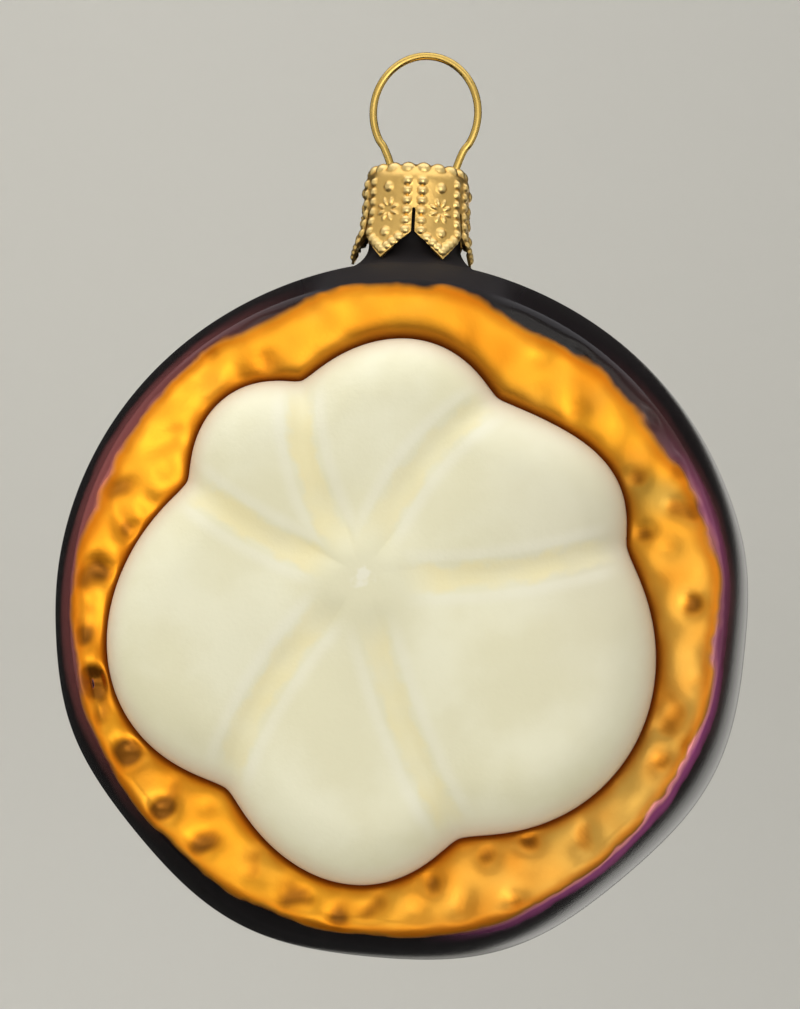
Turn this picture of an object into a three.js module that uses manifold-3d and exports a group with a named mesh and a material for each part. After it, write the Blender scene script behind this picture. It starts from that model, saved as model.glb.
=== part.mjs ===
// A mouth-blown glass tree ornament in the form of a halved mangosteen: a hollow glass body, a stamped
// crown cap on its neck and the wire loop that it hangs by.
// Millimetres, +Z up, +X to the right, -Y towards the viewer. The origin is the top of the wire
// loop's eye, where a hook carries the ornament.
// The body is written in a face frame about its own centre: x to the right, v up, w towards the viewer.

import * as THREE from 'three';
import { mergeVertices } from 'three/addons/utils/BufferGeometryUtils.js';
import Module from 'manifold-3d';

// Wire loop
const WIRE_RADIUS = 0.4;
const WIRE_SIDES = 8;
const LOOP_HALF_WIDTH = 5.45;
const LOOP_HALF_HEIGHT = 6;
const LOOP_ABOVE_CAP = 6.15;
const LOOP_OPEN_ANGLE = 42;
const LEG_AT_CAP_X = 3.3;
const LEG_IN_NECK_X = 3.0;
const LEG_END_X = 6.2;
const LEG_LENGTH = 19;
const LEG_BENDS = [2.5, 7, 12];
const LOOP_ANGLE_STEP = 12;
const WIRE_STEPS = 66;

// Crown cap
const CAP_RADIUS = 5.45;
const CAP_SHEET = 0.35;
const CAP_EDGE_ROUND = 2;
const CAP_EDGE_TURNS = [0, 22.5, 45, 67.5, 90];
const CAP_HEIGHT = 10;
const CAP_SIDES = 48;
const LOBE_COUNT = 6;
const SLIT_TOP = 4.7;
const SLIT_WIDTH = 0.35;
const LOBE_SHOULDER = 7.3;
const LOBE_FLARE = [0.5, 0.95, 1.1, 1.05, 0.95, 0.9];
const FLARE_CURVE = 1.3;
const CAP_SIDE_RINGS = [CAP_HEIGHT, 8.5, LOBE_SHOULDER, 6, SLIT_TOP, 2.8];
const CAP_HOLE_RADIUS = 0.75;
const EDGE_BEAD_RADIUS = 0.75;
const EDGE_BEAD_COUNT = 18;
const EDGE_BEAD_INSET = 0.87;
const EDGE_BEAD_DROP = 0.66;
const ROW_BEAD_RADIUS = 0.5;
const ROW_BEAD_SPACING = 1.2;
const ROW_BEAD_START = 2.2;

// Glass neck: like the cap, it stands a little to the left of the loop
const NECK_X = -0.5;
const NECK_RADIUS = 4.75;
const NECK_BORE_RADIUS = 3.9;
const NECK_GAP = 0.85;
const NECK_SIDES = 40;
const NECK_FILLET_REACH = 8;
const NECK_FILLET_RISE = 2.4;
const NECK_FILLET_PARTS = [1, 0.97, 0.88, 0.72, 0.5, 0.25];
const NECK_ROOT = 28;

// Glass body
const WALL = 0.95;
const CAP_TOP_TO_CENTRE = 45.95;
const BODY_FORWARD = 2.1;
const BODY_RADIUS = 35.25;
const FRONT_DEPTH = 32;
const BACK_DEPTH = 27.6;
const BACK_FULLNESS = 2.2;
const SHOULDER_RISE = 0.65;
const SHOULDER_WIDTH = 12;
const SIDE_WAVE = 0.33;
const SIDE_WAVES = 8;
const SIDE_WAVE_PEAK = 200;
const SIDE_WAVE_DEPTH = 14;
const SIDE_WAVE_TILT = 10;
const SIDE_WAVE_FADE = 0.3;

// Rim between the side and the cut face
const RIM_TANGENT_DEPTH = 13.2;
const RIM_ROUND = 1.4;
const RIM_INNER_ANGLE = 100;

// Cut face of the rind
const DISH_DEPTH = 13.1;
const DISH_REACH = 5;
const TRENCH_DEPTH = 1.2;
const TRENCH_WIDTH = 1;
const DIMPLE_STEPS = 38;
const DIMPLE_LANES = [0.1, 0.5, 0.9];
const DIMPLE_SHIFT = { angle: 0.5, lane: 0.24 };
const DIMPLE_MARGIN = { flesh: 1.2, rim: 0.6 };
const DIMPLE_RADIUS = 1.3;
const DIMPLE_DEPTH = { least: 0.1, most: 0.6 };
const DIMPLE_RIM_FADE = 50;
const SMOOTH_STRETCH = { middle: 88, inner: 18, outer: 40, depth: 0.25 };

// Flesh: the notch where each segment begins, the outline's reach there, how far the segment swells
// beyond the straight run to the next notch, and how far its groove bows sideways
const FLESH_CENTRE = { x: -3.2, v: 2.65 };
const SEGMENTS = [
  { notch: 9.5, reach: 25.8, swell: 1.6, bow: -1.4 },
  { notch: 56, reach: 22, swell: 2.7, bow: 2 },
  { notch: 110.5, reach: 20.5, swell: 2.3, bow: 1.8 },
  { notch: 154, reach: 20, swell: 3.8, bow: 1.1 },
  { notch: 239, reach: 24.6, swell: 3.8, bow: -1.7 },
  { notch: 292.5, reach: 27, swell: 4.5, bow: -1.2 },
];
const SWELL_FULLNESS = 0.85;
const NOTCH_ROUND = 0.25;
const FLESH_CROWN = 17.8;
const FLESH_FALL = 0.8;
const FLESH_EDGE_ROUND = 6.5;
const GROOVE_DEPTH = 0.4;
const GROOVE_WIDTH = 1.3;
const SADDLE_DEPTH = 0.8;
const SADDLE_WIDTH = 5;
const GROOVE_START = 0.08;
const GROOVE_FULL = 0.45;

// Low six-lobed relief of the blossom end, on the back
const ROSETTE_RADIUS = 5.2;
const ROSETTE_WAVE = 1.3;
const ROSETTE_RISE = 0.6;
const ROSETTE_EDGE = 0.6;
const ROSETTE_CENTRE = { height: 0.4, inner: 0.3, outer: 2 };

// Mesh steps
const COLUMN_STEP = 3.75;
const FLESH_RINGS = [0.12, 0.25, 0.38, 0.5, 0.61, 0.71, 0.8, 0.87, 0.93, 0.97, 1];
const FACE_RINGS = [0.2, 0.4, 0.6, 0.8];
const RIM_STEPS = 5;
const SIDE_STEPS = 3;
const BACK_STEPS = 9;
const BACK_STEPS_ANGLE = 68;
const ROSETTE_RINGS = [8.4, 7, 6, 5, 4, 2.6, 1.2];
const MERGE_DISTANCE = 1e-4;

const LOOP_CENTRE_Z = WIRE_RADIUS - LOOP_HALF_HEIGHT;
const CAP_TOP_Z = LOOP_CENTRE_Z - LOOP_ABOVE_CAP;
const BODY_Z = CAP_TOP_Z - CAP_TOP_TO_CENTRE;
const NECK_TOP = CAP_TOP_TO_CENTRE - CAP_SHEET - NECK_GAP;

const COLOURS = {
  rind: new THREE.Color(0.055, 0.03, 0.05),
  face: new THREE.Color(0.95, 0.58, 0.1),
  flesh: new THREE.Color(0.84, 0.8, 0.64),
};

const { degToRad, radToDeg, euclideanModulo, smoothstep, lerp } = THREE.MathUtils;
const wasm = await Module();
wasm.setup();

function toSolid(geometry) {
  const bare = geometry.clone();
  bare.deleteAttribute('normal');
  bare.deleteAttribute('uv');
  const merged = mergeVertices(bare, MERGE_DISTANCE);
  const vertProperties = new Float32Array(merged.attributes.position.array);
  const triVerts = new Uint32Array(merged.index.array);
  return new wasm.Manifold(new wasm.Mesh({ numProp: 3, vertProperties, triVerts }));
}

function toGeometry(solid) {
  const { vertProperties, triVerts } = solid.getMesh();
  const geometry = new THREE.BufferGeometry();
  geometry.setAttribute('position', new THREE.BufferAttribute(vertProperties, 3));
  geometry.setIndex(new THREE.BufferAttribute(triVerts, 1));
  geometry.computeVertexNormals();
  return geometry;
}

// A closed body from rings of points, all of one length, with a pole before the first and after the last
function ringBody(rings, firstPole, lastPole) {
  const columns = rings[0].length;
  const points = [firstPole, ...rings.flat(), lastPole];
  const at = (ring, column) => 1 + ring * columns + (column % columns);
  const faces = [];
  for (let column = 0; column < columns; column += 1) {
    faces.push(0, at(0, column), at(0, column + 1));
    for (let ring = 0; ring + 1 < rings.length; ring += 1) {
      const [a, b] = [at(ring, column), at(ring + 1, column)];
      const [c, d] = [at(ring + 1, column + 1), at(ring, column + 1)];
      faces.push(a, b, c, a, c, d);
    }
    faces.push(points.length - 1, at(rings.length - 1, column + 1), at(rings.length - 1, column));
  }
  const geometry = new THREE.BufferGeometry().setFromPoints(points);
  geometry.setIndex(faces);
  geometry.computeVertexNormals();
  return geometry;
}

// From the face frame to the ornament's own frame
function place(x, v, w) {
  return new THREE.Vector3(x, -BODY_FORWARD - w, BODY_Z + v);
}

// The segment that an angle about the flesh centre falls in, and how far across it, from 0 to 1
function segmentAt(angle) {
  const first = SEGMENTS[0].notch;
  const turned = euclideanModulo(angle - first, 360) + first;
  const index = SEGMENTS.findLastIndex((segment) => segment.notch <= turned + 1e-9);
  const here = SEGMENTS[index];
  const next = SEGMENTS[(index + 1) % SEGMENTS.length];
  const span = euclideanModulo(next.notch - here.notch, 360);
  return { here, next, part: Math.max(0, turned - here.notch) / span };
}

function fleshReach(angle) {
  const { here, next, part } = segmentAt(angle);
  const eased = part - Math.sin(2 * Math.PI * part) / (2 * Math.PI);
  const sine = Math.max(0, Math.sin(Math.PI * part)) ** SWELL_FULLNESS;
  const rounded = (Math.hypot(sine, NOTCH_ROUND) - NOTCH_ROUND) / (Math.hypot(1, NOTCH_ROUND) - NOTCH_ROUND);
  return lerp(here.reach, next.reach, eased) + here.swell * rounded;
}

// Depth of the grooves between the segments, and of the wide dips that they lie in, at a point given
// about the flesh centre
function grooving(x, v) {
  let depth = 0;
  for (const { notch, reach, bow } of SEGMENTS) {
    const along = x * Math.cos(degToRad(notch)) + v * Math.sin(degToRad(notch));
    const aside = v * Math.cos(degToRad(notch)) - x * Math.sin(degToRad(notch));
    const part = Math.min(along / reach, 1);
    const distance = along > 0 ? aside - bow * 4 * part * (1 - part) : Math.hypot(x, v);
    depth += GROOVE_DEPTH * Math.exp(-((distance / GROOVE_WIDTH) ** 2));
    depth += SADDLE_DEPTH * Math.exp(-((distance / SADDLE_WIDTH) ** 2));
  }
  return depth;
}

// A quarter ellipse: 0 at the edge, 1 from the given width on
function cushion(distance, width) {
  return Math.sqrt(1 - (1 - Math.min(Math.max(distance, 0) / width, 1)) ** 2);
}

// The rim's rounding is an arc that touches the side's ellipse where the depth is RIM_TANGENT_DEPTH
function rimArc() {
  const sideRadius = BODY_RADIUS * Math.sqrt(1 - (RIM_TANGENT_DEPTH / FRONT_DEPTH) ** 2);
  const outward = Math.atan2(RIM_TANGENT_DEPTH / FRONT_DEPTH ** 2, sideRadius / BODY_RADIUS ** 2);
  return {
    radius: sideRadius - RIM_ROUND * Math.cos(outward),
    depth: RIM_TANGENT_DEPTH - RIM_ROUND * Math.sin(outward),
    outward,
  };
}
const RIM = rimArc();
const FACE_EDGE_RADIUS = RIM.radius + RIM_ROUND * Math.cos(degToRad(RIM_INNER_ANGLE));
const FACE_EDGE_DEPTH = RIM.depth + RIM_ROUND * Math.sin(degToRad(RIM_INNER_ANGLE));

// Where a ray from the flesh centre meets the inner foot of the rim
function faceReach(angle) {
  const toward = FLESH_CENTRE.x * Math.cos(degToRad(angle)) + FLESH_CENTRE.v * Math.sin(degToRad(angle));
  const offset = FLESH_CENTRE.x ** 2 + FLESH_CENTRE.v ** 2;
  return Math.sqrt(toward ** 2 - offset + FACE_EDGE_RADIUS ** 2) - toward;
}

// Repeatable uneven values between 0 and 1
function uneven(index, salt) {
  const value = Math.sin(index * 12.9898 + salt * 78.233) * 43758.5453;
  return value - Math.floor(value);
}

function makeDimples() {
  const dimples = [];
  for (let step = 0; step < DIMPLE_STEPS; step += 1) {
    DIMPLE_LANES.forEach((lane, row) => {
      const seed = step * DIMPLE_LANES.length + row;
      const shift = DIMPLE_SHIFT.angle * uneven(seed, 1);
      const angle = ((step + 0.5 * (row % 2) + shift) * 360) / DIMPLE_STEPS;
      const across = lane + DIMPLE_SHIFT.lane * (uneven(seed, 2) - 0.5);
      const inner = fleshReach(angle) + DIMPLE_MARGIN.flesh;
      const radius = lerp(inner, faceReach(angle) + DIMPLE_MARGIN.rim, across);
      const turn = Math.abs(euclideanModulo(angle - SMOOTH_STRETCH.middle + 180, 360) - 180);
      const wild = smoothstep(turn, SMOOTH_STRETCH.inner, SMOOTH_STRETCH.outer);
      const depth = lerp(DIMPLE_DEPTH.least, DIMPLE_DEPTH.most, uneven(seed, 3));
      dimples.push({
        x: radius * Math.cos(degToRad(angle)),
        v: radius * Math.sin(degToRad(angle)),
        depth: depth * lerp(SMOOTH_STRETCH.depth, 1, wild),
      });
    });
  }
  return dimples;
}
const DIMPLES = makeDimples();

function dimpling(x, v) {
  let sum = 0;
  for (const dimple of DIMPLES) {
    const square = ((x - dimple.x) ** 2 + (v - dimple.v) ** 2) / DIMPLE_RADIUS ** 2;
    sum += dimple.depth * Math.exp(-square);
  }
  return sum;
}

// How far the gold face sinks at a point given about the flesh centre: a trench along the flesh, and dimples
function faceSinking(x, v) {
  const beyond = Math.max(0, Math.hypot(x, v) - fleshReach(radToDeg(Math.atan2(v, x))));
  const trench = TRENCH_DEPTH * Math.exp(-beyond / TRENCH_WIDTH);
  return trench + dimpling(x, v) * smoothstep(beyond, 0, TRENCH_WIDTH);
}

// Depth of the gold face at a point given about the flesh centre
function faceHeight(x, v) {
  const radius = Math.hypot(x + FLESH_CENTRE.x, v + FLESH_CENTRE.v);
  const toRim = Math.max(0, FACE_EDGE_RADIUS - radius) / DISH_REACH;
  return DISH_DEPTH + (FACE_EDGE_DEPTH - DISH_DEPTH) * Math.exp(-toRim) - faceSinking(x, v);
}

// Depth of the flesh at a point given about the flesh centre
function fleshHeight(x, v) {
  const angle = Math.atan2(v, x);
  const reach = fleshReach(radToDeg(angle));
  const radius = Math.hypot(x, v);
  const foot = faceHeight(reach * Math.cos(angle), reach * Math.sin(angle));
  const edge = cushion(reach - radius, FLESH_EDGE_ROUND);
  const sunken = grooving(x, v) * smoothstep(radius / reach, GROOVE_START, GROOVE_FULL);
  const crown = FLESH_CROWN - FLESH_FALL * (radius / reach) ** 2;
  return foot + (crown - foot - sunken) * edge;
}

// Raised shoulder under the neck
function shoulder(x, w) {
  const square = ((x - NECK_X) / SHOULDER_WIDTH) ** 2 + ((w + BODY_FORWARD) / SHOULDER_WIDTH) ** 2;
  return SHOULDER_RISE * Math.exp(-square);
}

// Uneven roundness of the lower side, as blown
function sideWave(angle, w) {
  const low = smoothstep(-Math.sin(degToRad(angle - SIDE_WAVE_TILT)), -SIDE_WAVE_FADE, SIDE_WAVE_FADE);
  const middle = Math.exp(-((w / SIDE_WAVE_DEPTH) ** 2));
  return SIDE_WAVE * low * middle * Math.cos(degToRad(SIDE_WAVES * (angle - SIDE_WAVE_PEAK)));
}

// Point of the rim, side or back at an angle about the body's centre
function bodyPoint(angle, radius, w) {
  const [sideX, sideV] = [Math.cos(degToRad(angle)), Math.sin(degToRad(angle))];
  const top = sideV > 0 ? shoulder(radius * sideX, w) : 0;
  const waved = radius + sideWave(angle, w) * Math.min(radius / BODY_RADIUS, 1);
  return place(waved * sideX, waved * sideV + top, w);
}

// Relief of the rosette on the back, at a radius and angle about the body's centre
function rosette(angle, radius) {
  const edge = ROSETTE_RADIUS + ROSETTE_WAVE * Math.cos(degToRad(SEGMENTS.length * angle));
  const petals = 1 - smoothstep(radius, edge - ROSETTE_EDGE, edge + ROSETTE_EDGE);
  const { height, inner, outer } = ROSETTE_CENTRE;
  return ROSETTE_RISE * petals * lerp(height, 1, smoothstep(radius, inner, outer));
}

// Point of the rim, at a turn of its arc: the face's trench and dimples fade out as it rolls over
function rimPoint(angle, turn) {
  const radius = RIM.radius + RIM_ROUND * Math.cos(turn);
  const point = bodyPoint(angle, radius, RIM.depth + RIM_ROUND * Math.sin(turn));
  const fade = 1 - smoothstep(RIM_INNER_ANGLE - radToDeg(turn), 0, DIMPLE_RIM_FADE);
  const [x, v] = [point.x - FLESH_CENTRE.x, point.z - BODY_Z - FLESH_CENTRE.v];
  point.y += faceSinking(x, v) * fade;
  return point;
}

// Radius and depth of the side and back: an ellipse in front of the widest ring, a fuller one behind it
function sideProfile(turn) {
  if (turn >= 0) {
    return { radius: BODY_RADIUS * Math.cos(turn), w: FRONT_DEPTH * Math.sin(turn) };
  }
  const radius = BODY_RADIUS * Math.cos(turn) ** (2 / BACK_FULLNESS);
  return { radius, w: backDepth(radius) };
}

function backDepth(radius) {
  return -BACK_DEPTH * (1 - (radius / BODY_RADIUS) ** BACK_FULLNESS) ** (1 / BACK_FULLNESS);
}

// Angles of the mesh columns: every segment is split evenly, so that each notch has a column
function columnAngles() {
  const angles = [];
  SEGMENTS.forEach(({ notch }, index) => {
    const next = SEGMENTS[(index + 1) % SEGMENTS.length].notch;
    const span = euclideanModulo(next - notch, 360);
    const count = 2 * Math.round(span / COLUMN_STEP / 2);
    for (let column = 0; column < count; column += 1) {
      angles.push(notch + (span * column) / count);
    }
  });
  return angles;
}

// Rings of the outer skin, from the flesh centre over the rim to the back
function skinRings(columns) {
  const aboutFlesh = (angle, radius, height) => {
    const [x, v] = [radius * Math.cos(degToRad(angle)), radius * Math.sin(degToRad(angle))];
    return place(x + FLESH_CENTRE.x, v + FLESH_CENTRE.v, height(x, v));
  };
  const bodyAngle = (angle) => {
    const reach = faceReach(angle);
    const x = FLESH_CENTRE.x + reach * Math.cos(degToRad(angle));
    const v = FLESH_CENTRE.v + reach * Math.sin(degToRad(angle));
    return radToDeg(Math.atan2(v, x));
  };
  const rings = [];
  for (const part of FLESH_RINGS) {
    rings.push(columns.map((angle) => aboutFlesh(angle, part * fleshReach(angle), fleshHeight)));
  }
  for (const part of FACE_RINGS) {
    rings.push(columns.map((angle) => (
      aboutFlesh(angle, lerp(fleshReach(angle), faceReach(angle), part), faceHeight)
    )));
  }
  for (let step = 0; step <= RIM_STEPS; step += 1) {
    const turn = lerp(degToRad(RIM_INNER_ANGLE), RIM.outward, step / RIM_STEPS);
    rings.push(columns.map((angle) => rimPoint(bodyAngle(angle), turn)));
  }
  const profile = [];
  const rimTurn = Math.asin(RIM_TANGENT_DEPTH / FRONT_DEPTH);
  for (let step = 1; step < SIDE_STEPS; step += 1) {
    profile.push(sideProfile(rimTurn * (1 - step / SIDE_STEPS)));
  }
  for (let step = 0; step < BACK_STEPS; step += 1) {
    profile.push(sideProfile(degToRad(-BACK_STEPS_ANGLE) * (step / (BACK_STEPS - 1))));
  }
  ROSETTE_RINGS.forEach((radius) => profile.push({ radius, w: backDepth(radius) }));
  for (const { radius, w } of profile) {
    rings.push(columns.map((column) => {
      const angle = bodyAngle(column);
      return bodyPoint(angle, radius, w - rosette(angle, radius));
    }));
  }
  return rings;
}

// The hollow: every second ring and column of the skin, moved inwards by the wall
function hollowBody(skin, rings, columnCount) {
  const { position, normal } = skin.attributes;
  const inward = (index) => {
    const point = new THREE.Vector3().fromBufferAttribute(position, index);
    return point.addScaledVector(new THREE.Vector3().fromBufferAttribute(normal, index), -WALL);
  };
  const inner = [];
  for (let ring = (FLESH_RINGS.length - 1) % 2; ring < rings.length; ring += 2) {
    const points = [];
    for (let column = 0; column < columnCount; column += 2) {
      points.push(inward(1 + ring * columnCount + column));
    }
    inner.push(points);
  }
  return ringBody(inner, inward(0), inward(position.count - 1));
}

// Height of the body's top above its centre, over a point of the neck's foot
function topHeight(x, w) {
  const depth = w > 0 ? FRONT_DEPTH : BACK_DEPTH;
  const power = w > 0 ? 2 : BACK_FULLNESS;
  const radius = BODY_RADIUS * (1 - (Math.abs(w) / depth) ** power) ** (1 / power);
  return Math.sqrt(radius ** 2 - x ** 2) + shoulder(x, w);
}

function neckBody() {
  const circle = (radius, height) => {
    const points = [];
    for (let side = 0; side < NECK_SIDES; side += 1) {
      const angle = (side / NECK_SIDES) * 2 * Math.PI;
      const [x, y] = [NECK_X + radius * Math.cos(angle), radius * Math.sin(angle)];
      points.push(new THREE.Vector3(x, y, BODY_Z + height(x, -y - BODY_FORWARD)));
    }
    return points;
  };
  const rings = [circle(NECK_RADIUS, () => NECK_TOP)];
  for (const part of NECK_FILLET_PARTS) {
    const rise = NECK_FILLET_RISE * (1 - Math.sqrt(1 - part ** 2));
    const radius = lerp(NECK_FILLET_REACH, NECK_RADIUS, part);
    rings.push(circle(radius, (x, w) => topHeight(x, w) + rise));
  }
  rings.push(circle(NECK_FILLET_REACH, (x, w) => topHeight(x, w) - 0.05));
  rings.push(circle(NECK_FILLET_REACH, () => NECK_ROOT));
  const axis = (height) => new THREE.Vector3(NECK_X, 0, BODY_Z + height);
  return ringBody(rings, axis(NECK_TOP), axis(NECK_ROOT));
}

// Paint on the glass: white flesh, gold face, dark rind
function paintGlass(geometry) {
  const { position } = geometry.attributes;
  const colours = [];
  for (let index = 0; index < position.count; index += 1) {
    const x = position.getX(index);
    const w = -position.getY(index) - BODY_FORWARD;
    const v = position.getZ(index) - BODY_Z;
    const [fleshX, fleshV] = [x - FLESH_CENTRE.x, v - FLESH_CENTRE.v];
    const reach = fleshReach(radToDeg(Math.atan2(fleshV, fleshX)));
    const inFlesh = Math.hypot(fleshX, fleshV) < reach - 0.1;
    const inFace = Math.hypot(x, v) < RIM.radius + RIM_ROUND / 2;
    const front = w > DISH_DEPTH - TRENCH_DEPTH - DIMPLE_DEPTH.most;
    const paint = front && inFlesh ? COLOURS.flesh : front && inFace ? COLOURS.face : COLOURS.rind;
    colours.push(paint.r, paint.g, paint.b);
  }
  geometry.setAttribute('color', new THREE.Float32BufferAttribute(colours, 3));
  return geometry;
}

function makeGlassBody() {
  const columns = columnAngles();
  const rings = skinRings(columns);
  const front = place(FLESH_CENTRE.x, FLESH_CENTRE.v, fleshHeight(0, 0));
  const back = place(0, 0, -BACK_DEPTH - rosette(0, 0));
  const skin = ringBody(rings, front, back);
  const hollow = hollowBody(skin, rings, columns.length);
  const boreLength = CAP_TOP_TO_CENTRE - NECK_ROOT;
  const bore = new THREE.CylinderGeometry(NECK_BORE_RADIUS, NECK_BORE_RADIUS, boreLength, NECK_SIDES);
  bore.rotateX(Math.PI / 2);
  bore.translate(NECK_X, 0, BODY_Z + NECK_ROOT + boreLength / 2);
  const outside = toSolid(skin).add(toSolid(neckBody()));
  const glass = outside.subtract(toSolid(hollow)).subtract(toSolid(bore));
  const material = new THREE.MeshStandardMaterial({ vertexColors: true, roughness: 0.3, metalness: 0.2 });
  const mesh = new THREE.Mesh(paintGlass(toGeometry(glass)), material);
  mesh.name = 'glass_body';
  return mesh;
}

// A straight-sided cup with a rounded top edge, its top at the given height
function cupBody(radius, round, top) {
  const profile = [new THREE.Vector2(0, -CAP_HEIGHT)];
  for (const depth of CAP_SIDE_RINGS) {
    profile.push(new THREE.Vector2(radius, -depth));
  }
  for (const turn of CAP_EDGE_TURNS) {
    const across = radius - round * (1 - Math.cos(degToRad(turn)));
    profile.push(new THREE.Vector2(across, top - round * (1 - Math.sin(degToRad(turn)))));
  }
  profile.push(new THREE.Vector2(0, top));
  return new THREE.LatheGeometry(profile, CAP_SIDES).rotateX(Math.PI / 2);
}

// One slit between two lobes, widening below their shoulders so that each lobe ends in a point
function capSlit() {
  const half = SLIT_WIDTH / 2;
  const pitch = Math.PI / LOBE_COUNT;
  const reach = CAP_RADIUS * Math.sin(pitch);
  const below = 1;
  const spread = reach + (below * (reach - half)) / (CAP_HEIGHT - LOBE_SHOULDER);
  const outline = new THREE.Shape([
    new THREE.Vector2(half, -SLIT_TOP),
    new THREE.Vector2(-half, -SLIT_TOP),
    new THREE.Vector2(-half, -LOBE_SHOULDER),
    new THREE.Vector2(-spread, -CAP_HEIGHT - below),
    new THREE.Vector2(spread, -CAP_HEIGHT - below),
    new THREE.Vector2(half, -LOBE_SHOULDER),
  ]);
  const slit = new THREE.ExtrudeGeometry(outline, { depth: CAP_RADIUS, bevelEnabled: false });
  slit.rotateX(Math.PI / 2);
  return slit.translate(0, -1, 0);
}

// Places of the small beads along one lobe's edge: [degrees from the lobe's middle, depth below the top]
function beadPlaces() {
  const inset = SLIT_WIDTH / 2 + ROW_BEAD_RADIUS;
  const sideAngle = 180 / LOBE_COUNT - radToDeg(inset / CAP_RADIUS);
  const places = [[0, CAP_HEIGHT - 2 * ROW_BEAD_RADIUS]];
  for (const side of [-1, 1]) {
    for (let depth = ROW_BEAD_START; depth < LOBE_SHOULDER; depth += ROW_BEAD_SPACING) {
      places.push([side * sideAngle, depth]);
    }
    for (const part of [1 / 3, 2 / 3]) {
      places.push([side * sideAngle * (1 - part), lerp(LOBE_SHOULDER - 0.3, CAP_HEIGHT - 1, part)]);
    }
  }
  return places;
}

// Lobes bend outwards below the slits, each by its own amount
function flareLobes(geometry) {
  const { position } = geometry.attributes;
  const point = new THREE.Vector3();
  for (let index = 0; index < position.count; index += 1) {
    point.fromBufferAttribute(position, index);
    const angle = euclideanModulo(radToDeg(Math.atan2(point.y, point.x)) + 180 / LOBE_COUNT, 360);
    const lobe = Math.floor((angle * LOBE_COUNT) / 360) % LOBE_COUNT;
    const drop = Math.max(0, -point.z - SLIT_TOP) / (CAP_HEIGHT - SLIT_TOP);
    const radius = Math.hypot(point.x, point.y);
    const grown = 1 + (LOBE_FLARE[lobe] * drop ** FLARE_CURVE) / Math.max(radius, 1);
    position.setXY(index, point.x * grown, point.y * grown);
  }
  geometry.computeVertexNormals();
  return geometry;
}

function makeCrownCap() {
  let cap = toSolid(cupBody(CAP_RADIUS, CAP_EDGE_ROUND, 0));
  for (const side of [-1, 1]) {
    const hole = new THREE.CylinderGeometry(CAP_HOLE_RADIUS, CAP_HOLE_RADIUS, 4 * CAP_SHEET, 12);
    hole.rotateX(Math.PI / 2);
    cap = cap.subtract(toSolid(hole.translate(side * LEG_AT_CAP_X - NECK_X, 0, -CAP_SHEET / 2)));
  }
  for (let slit = 0; slit < LOBE_COUNT; slit += 1) {
    const cutter = capSlit().rotateZ((slit * 2 * Math.PI) / LOBE_COUNT);
    cap = cap.subtract(toSolid(cutter));
  }
  const addBead = (bead, angle, ring, z) => {
    bead.translate(ring, 0, z);
    cap = cap.add(toSolid(bead.rotateZ(degToRad(angle))));
  };
  for (let bead = 0; bead < EDGE_BEAD_COUNT; bead += 1) {
    const angle = -90 + ((bead + 0.5) * 360) / EDGE_BEAD_COUNT;
    const ball = new THREE.IcosahedronGeometry(EDGE_BEAD_RADIUS, 0);
    addBead(ball, angle, CAP_RADIUS - EDGE_BEAD_INSET, -EDGE_BEAD_DROP);
  }
  for (let lobe = 0; lobe < LOBE_COUNT; lobe += 1) {
    const middle = (lobe * 360) / LOBE_COUNT;
    for (const [offset, depth] of beadPlaces()) {
      const ball = new THREE.OctahedronGeometry(ROW_BEAD_RADIUS, 0);
      addBead(ball, middle + offset, CAP_RADIUS, -depth);
    }
  }
  const room = cupBody(CAP_RADIUS - CAP_SHEET, CAP_EDGE_ROUND - CAP_SHEET, -CAP_SHEET);
  cap = cap.subtract(toSolid(room));
  const material = new THREE.MeshStandardMaterial({ color: 0xd8a850, roughness: 0.35, metalness: 1 });
  const mesh = new THREE.Mesh(flareLobes(toGeometry(cap)), material);
  mesh.name = 'crown_cap';
  mesh.position.set(NECK_X, 0, CAP_TOP_Z);
  return mesh;
}

function makeHangerWire() {
  const points = [];
  const leg = (side) => [
    [side * LEG_AT_CAP_X, -LOOP_ABOVE_CAP],
    ...LEG_BENDS.map((drop) => [NECK_X + side * LEG_IN_NECK_X, -LOOP_ABOVE_CAP - drop]),
    [NECK_X + side * LEG_END_X, -LOOP_ABOVE_CAP - LEG_LENGTH],
  ];
  for (const [x, z] of leg(1).toReversed()) {
    points.push(new THREE.Vector3(x, 0, z));
  }
  for (let angle = -LOOP_OPEN_ANGLE; angle <= 180 + LOOP_OPEN_ANGLE; angle += LOOP_ANGLE_STEP) {
    const x = LOOP_HALF_WIDTH * Math.cos(degToRad(angle));
    const z = LOOP_HALF_HEIGHT * Math.sin(degToRad(angle));
    points.push(new THREE.Vector3(x, 0, z));
  }
  for (const [x, z] of leg(-1)) {
    points.push(new THREE.Vector3(x, 0, z));
  }
  const section = new THREE.Shape();
  section.absarc(0, 0, WIRE_RADIUS, 0, 2 * Math.PI, false);
  const wire = new THREE.ExtrudeGeometry(section, {
    steps: WIRE_STEPS,
    curveSegments: WIRE_SIDES / 2,
    extrudePath: new THREE.CatmullRomCurve3(points, false, 'centripetal'),
    bevelEnabled: false,
  });
  const material = new THREE.MeshStandardMaterial({ color: 0xc79a3c, roughness: 0.25, metalness: 1 });
  const mesh = new THREE.Mesh(wire, material);
  mesh.name = 'hanger_wire';
  mesh.position.z = LOOP_CENTRE_Z;
  return mesh;
}

const ornament = new THREE.Group();
ornament.add(makeGlassBody(), makeCrownCap(), makeHangerWire());

export default ornament;
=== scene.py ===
import math

import bpy
import numpy as np
from mathutils import Matrix, Vector


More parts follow.
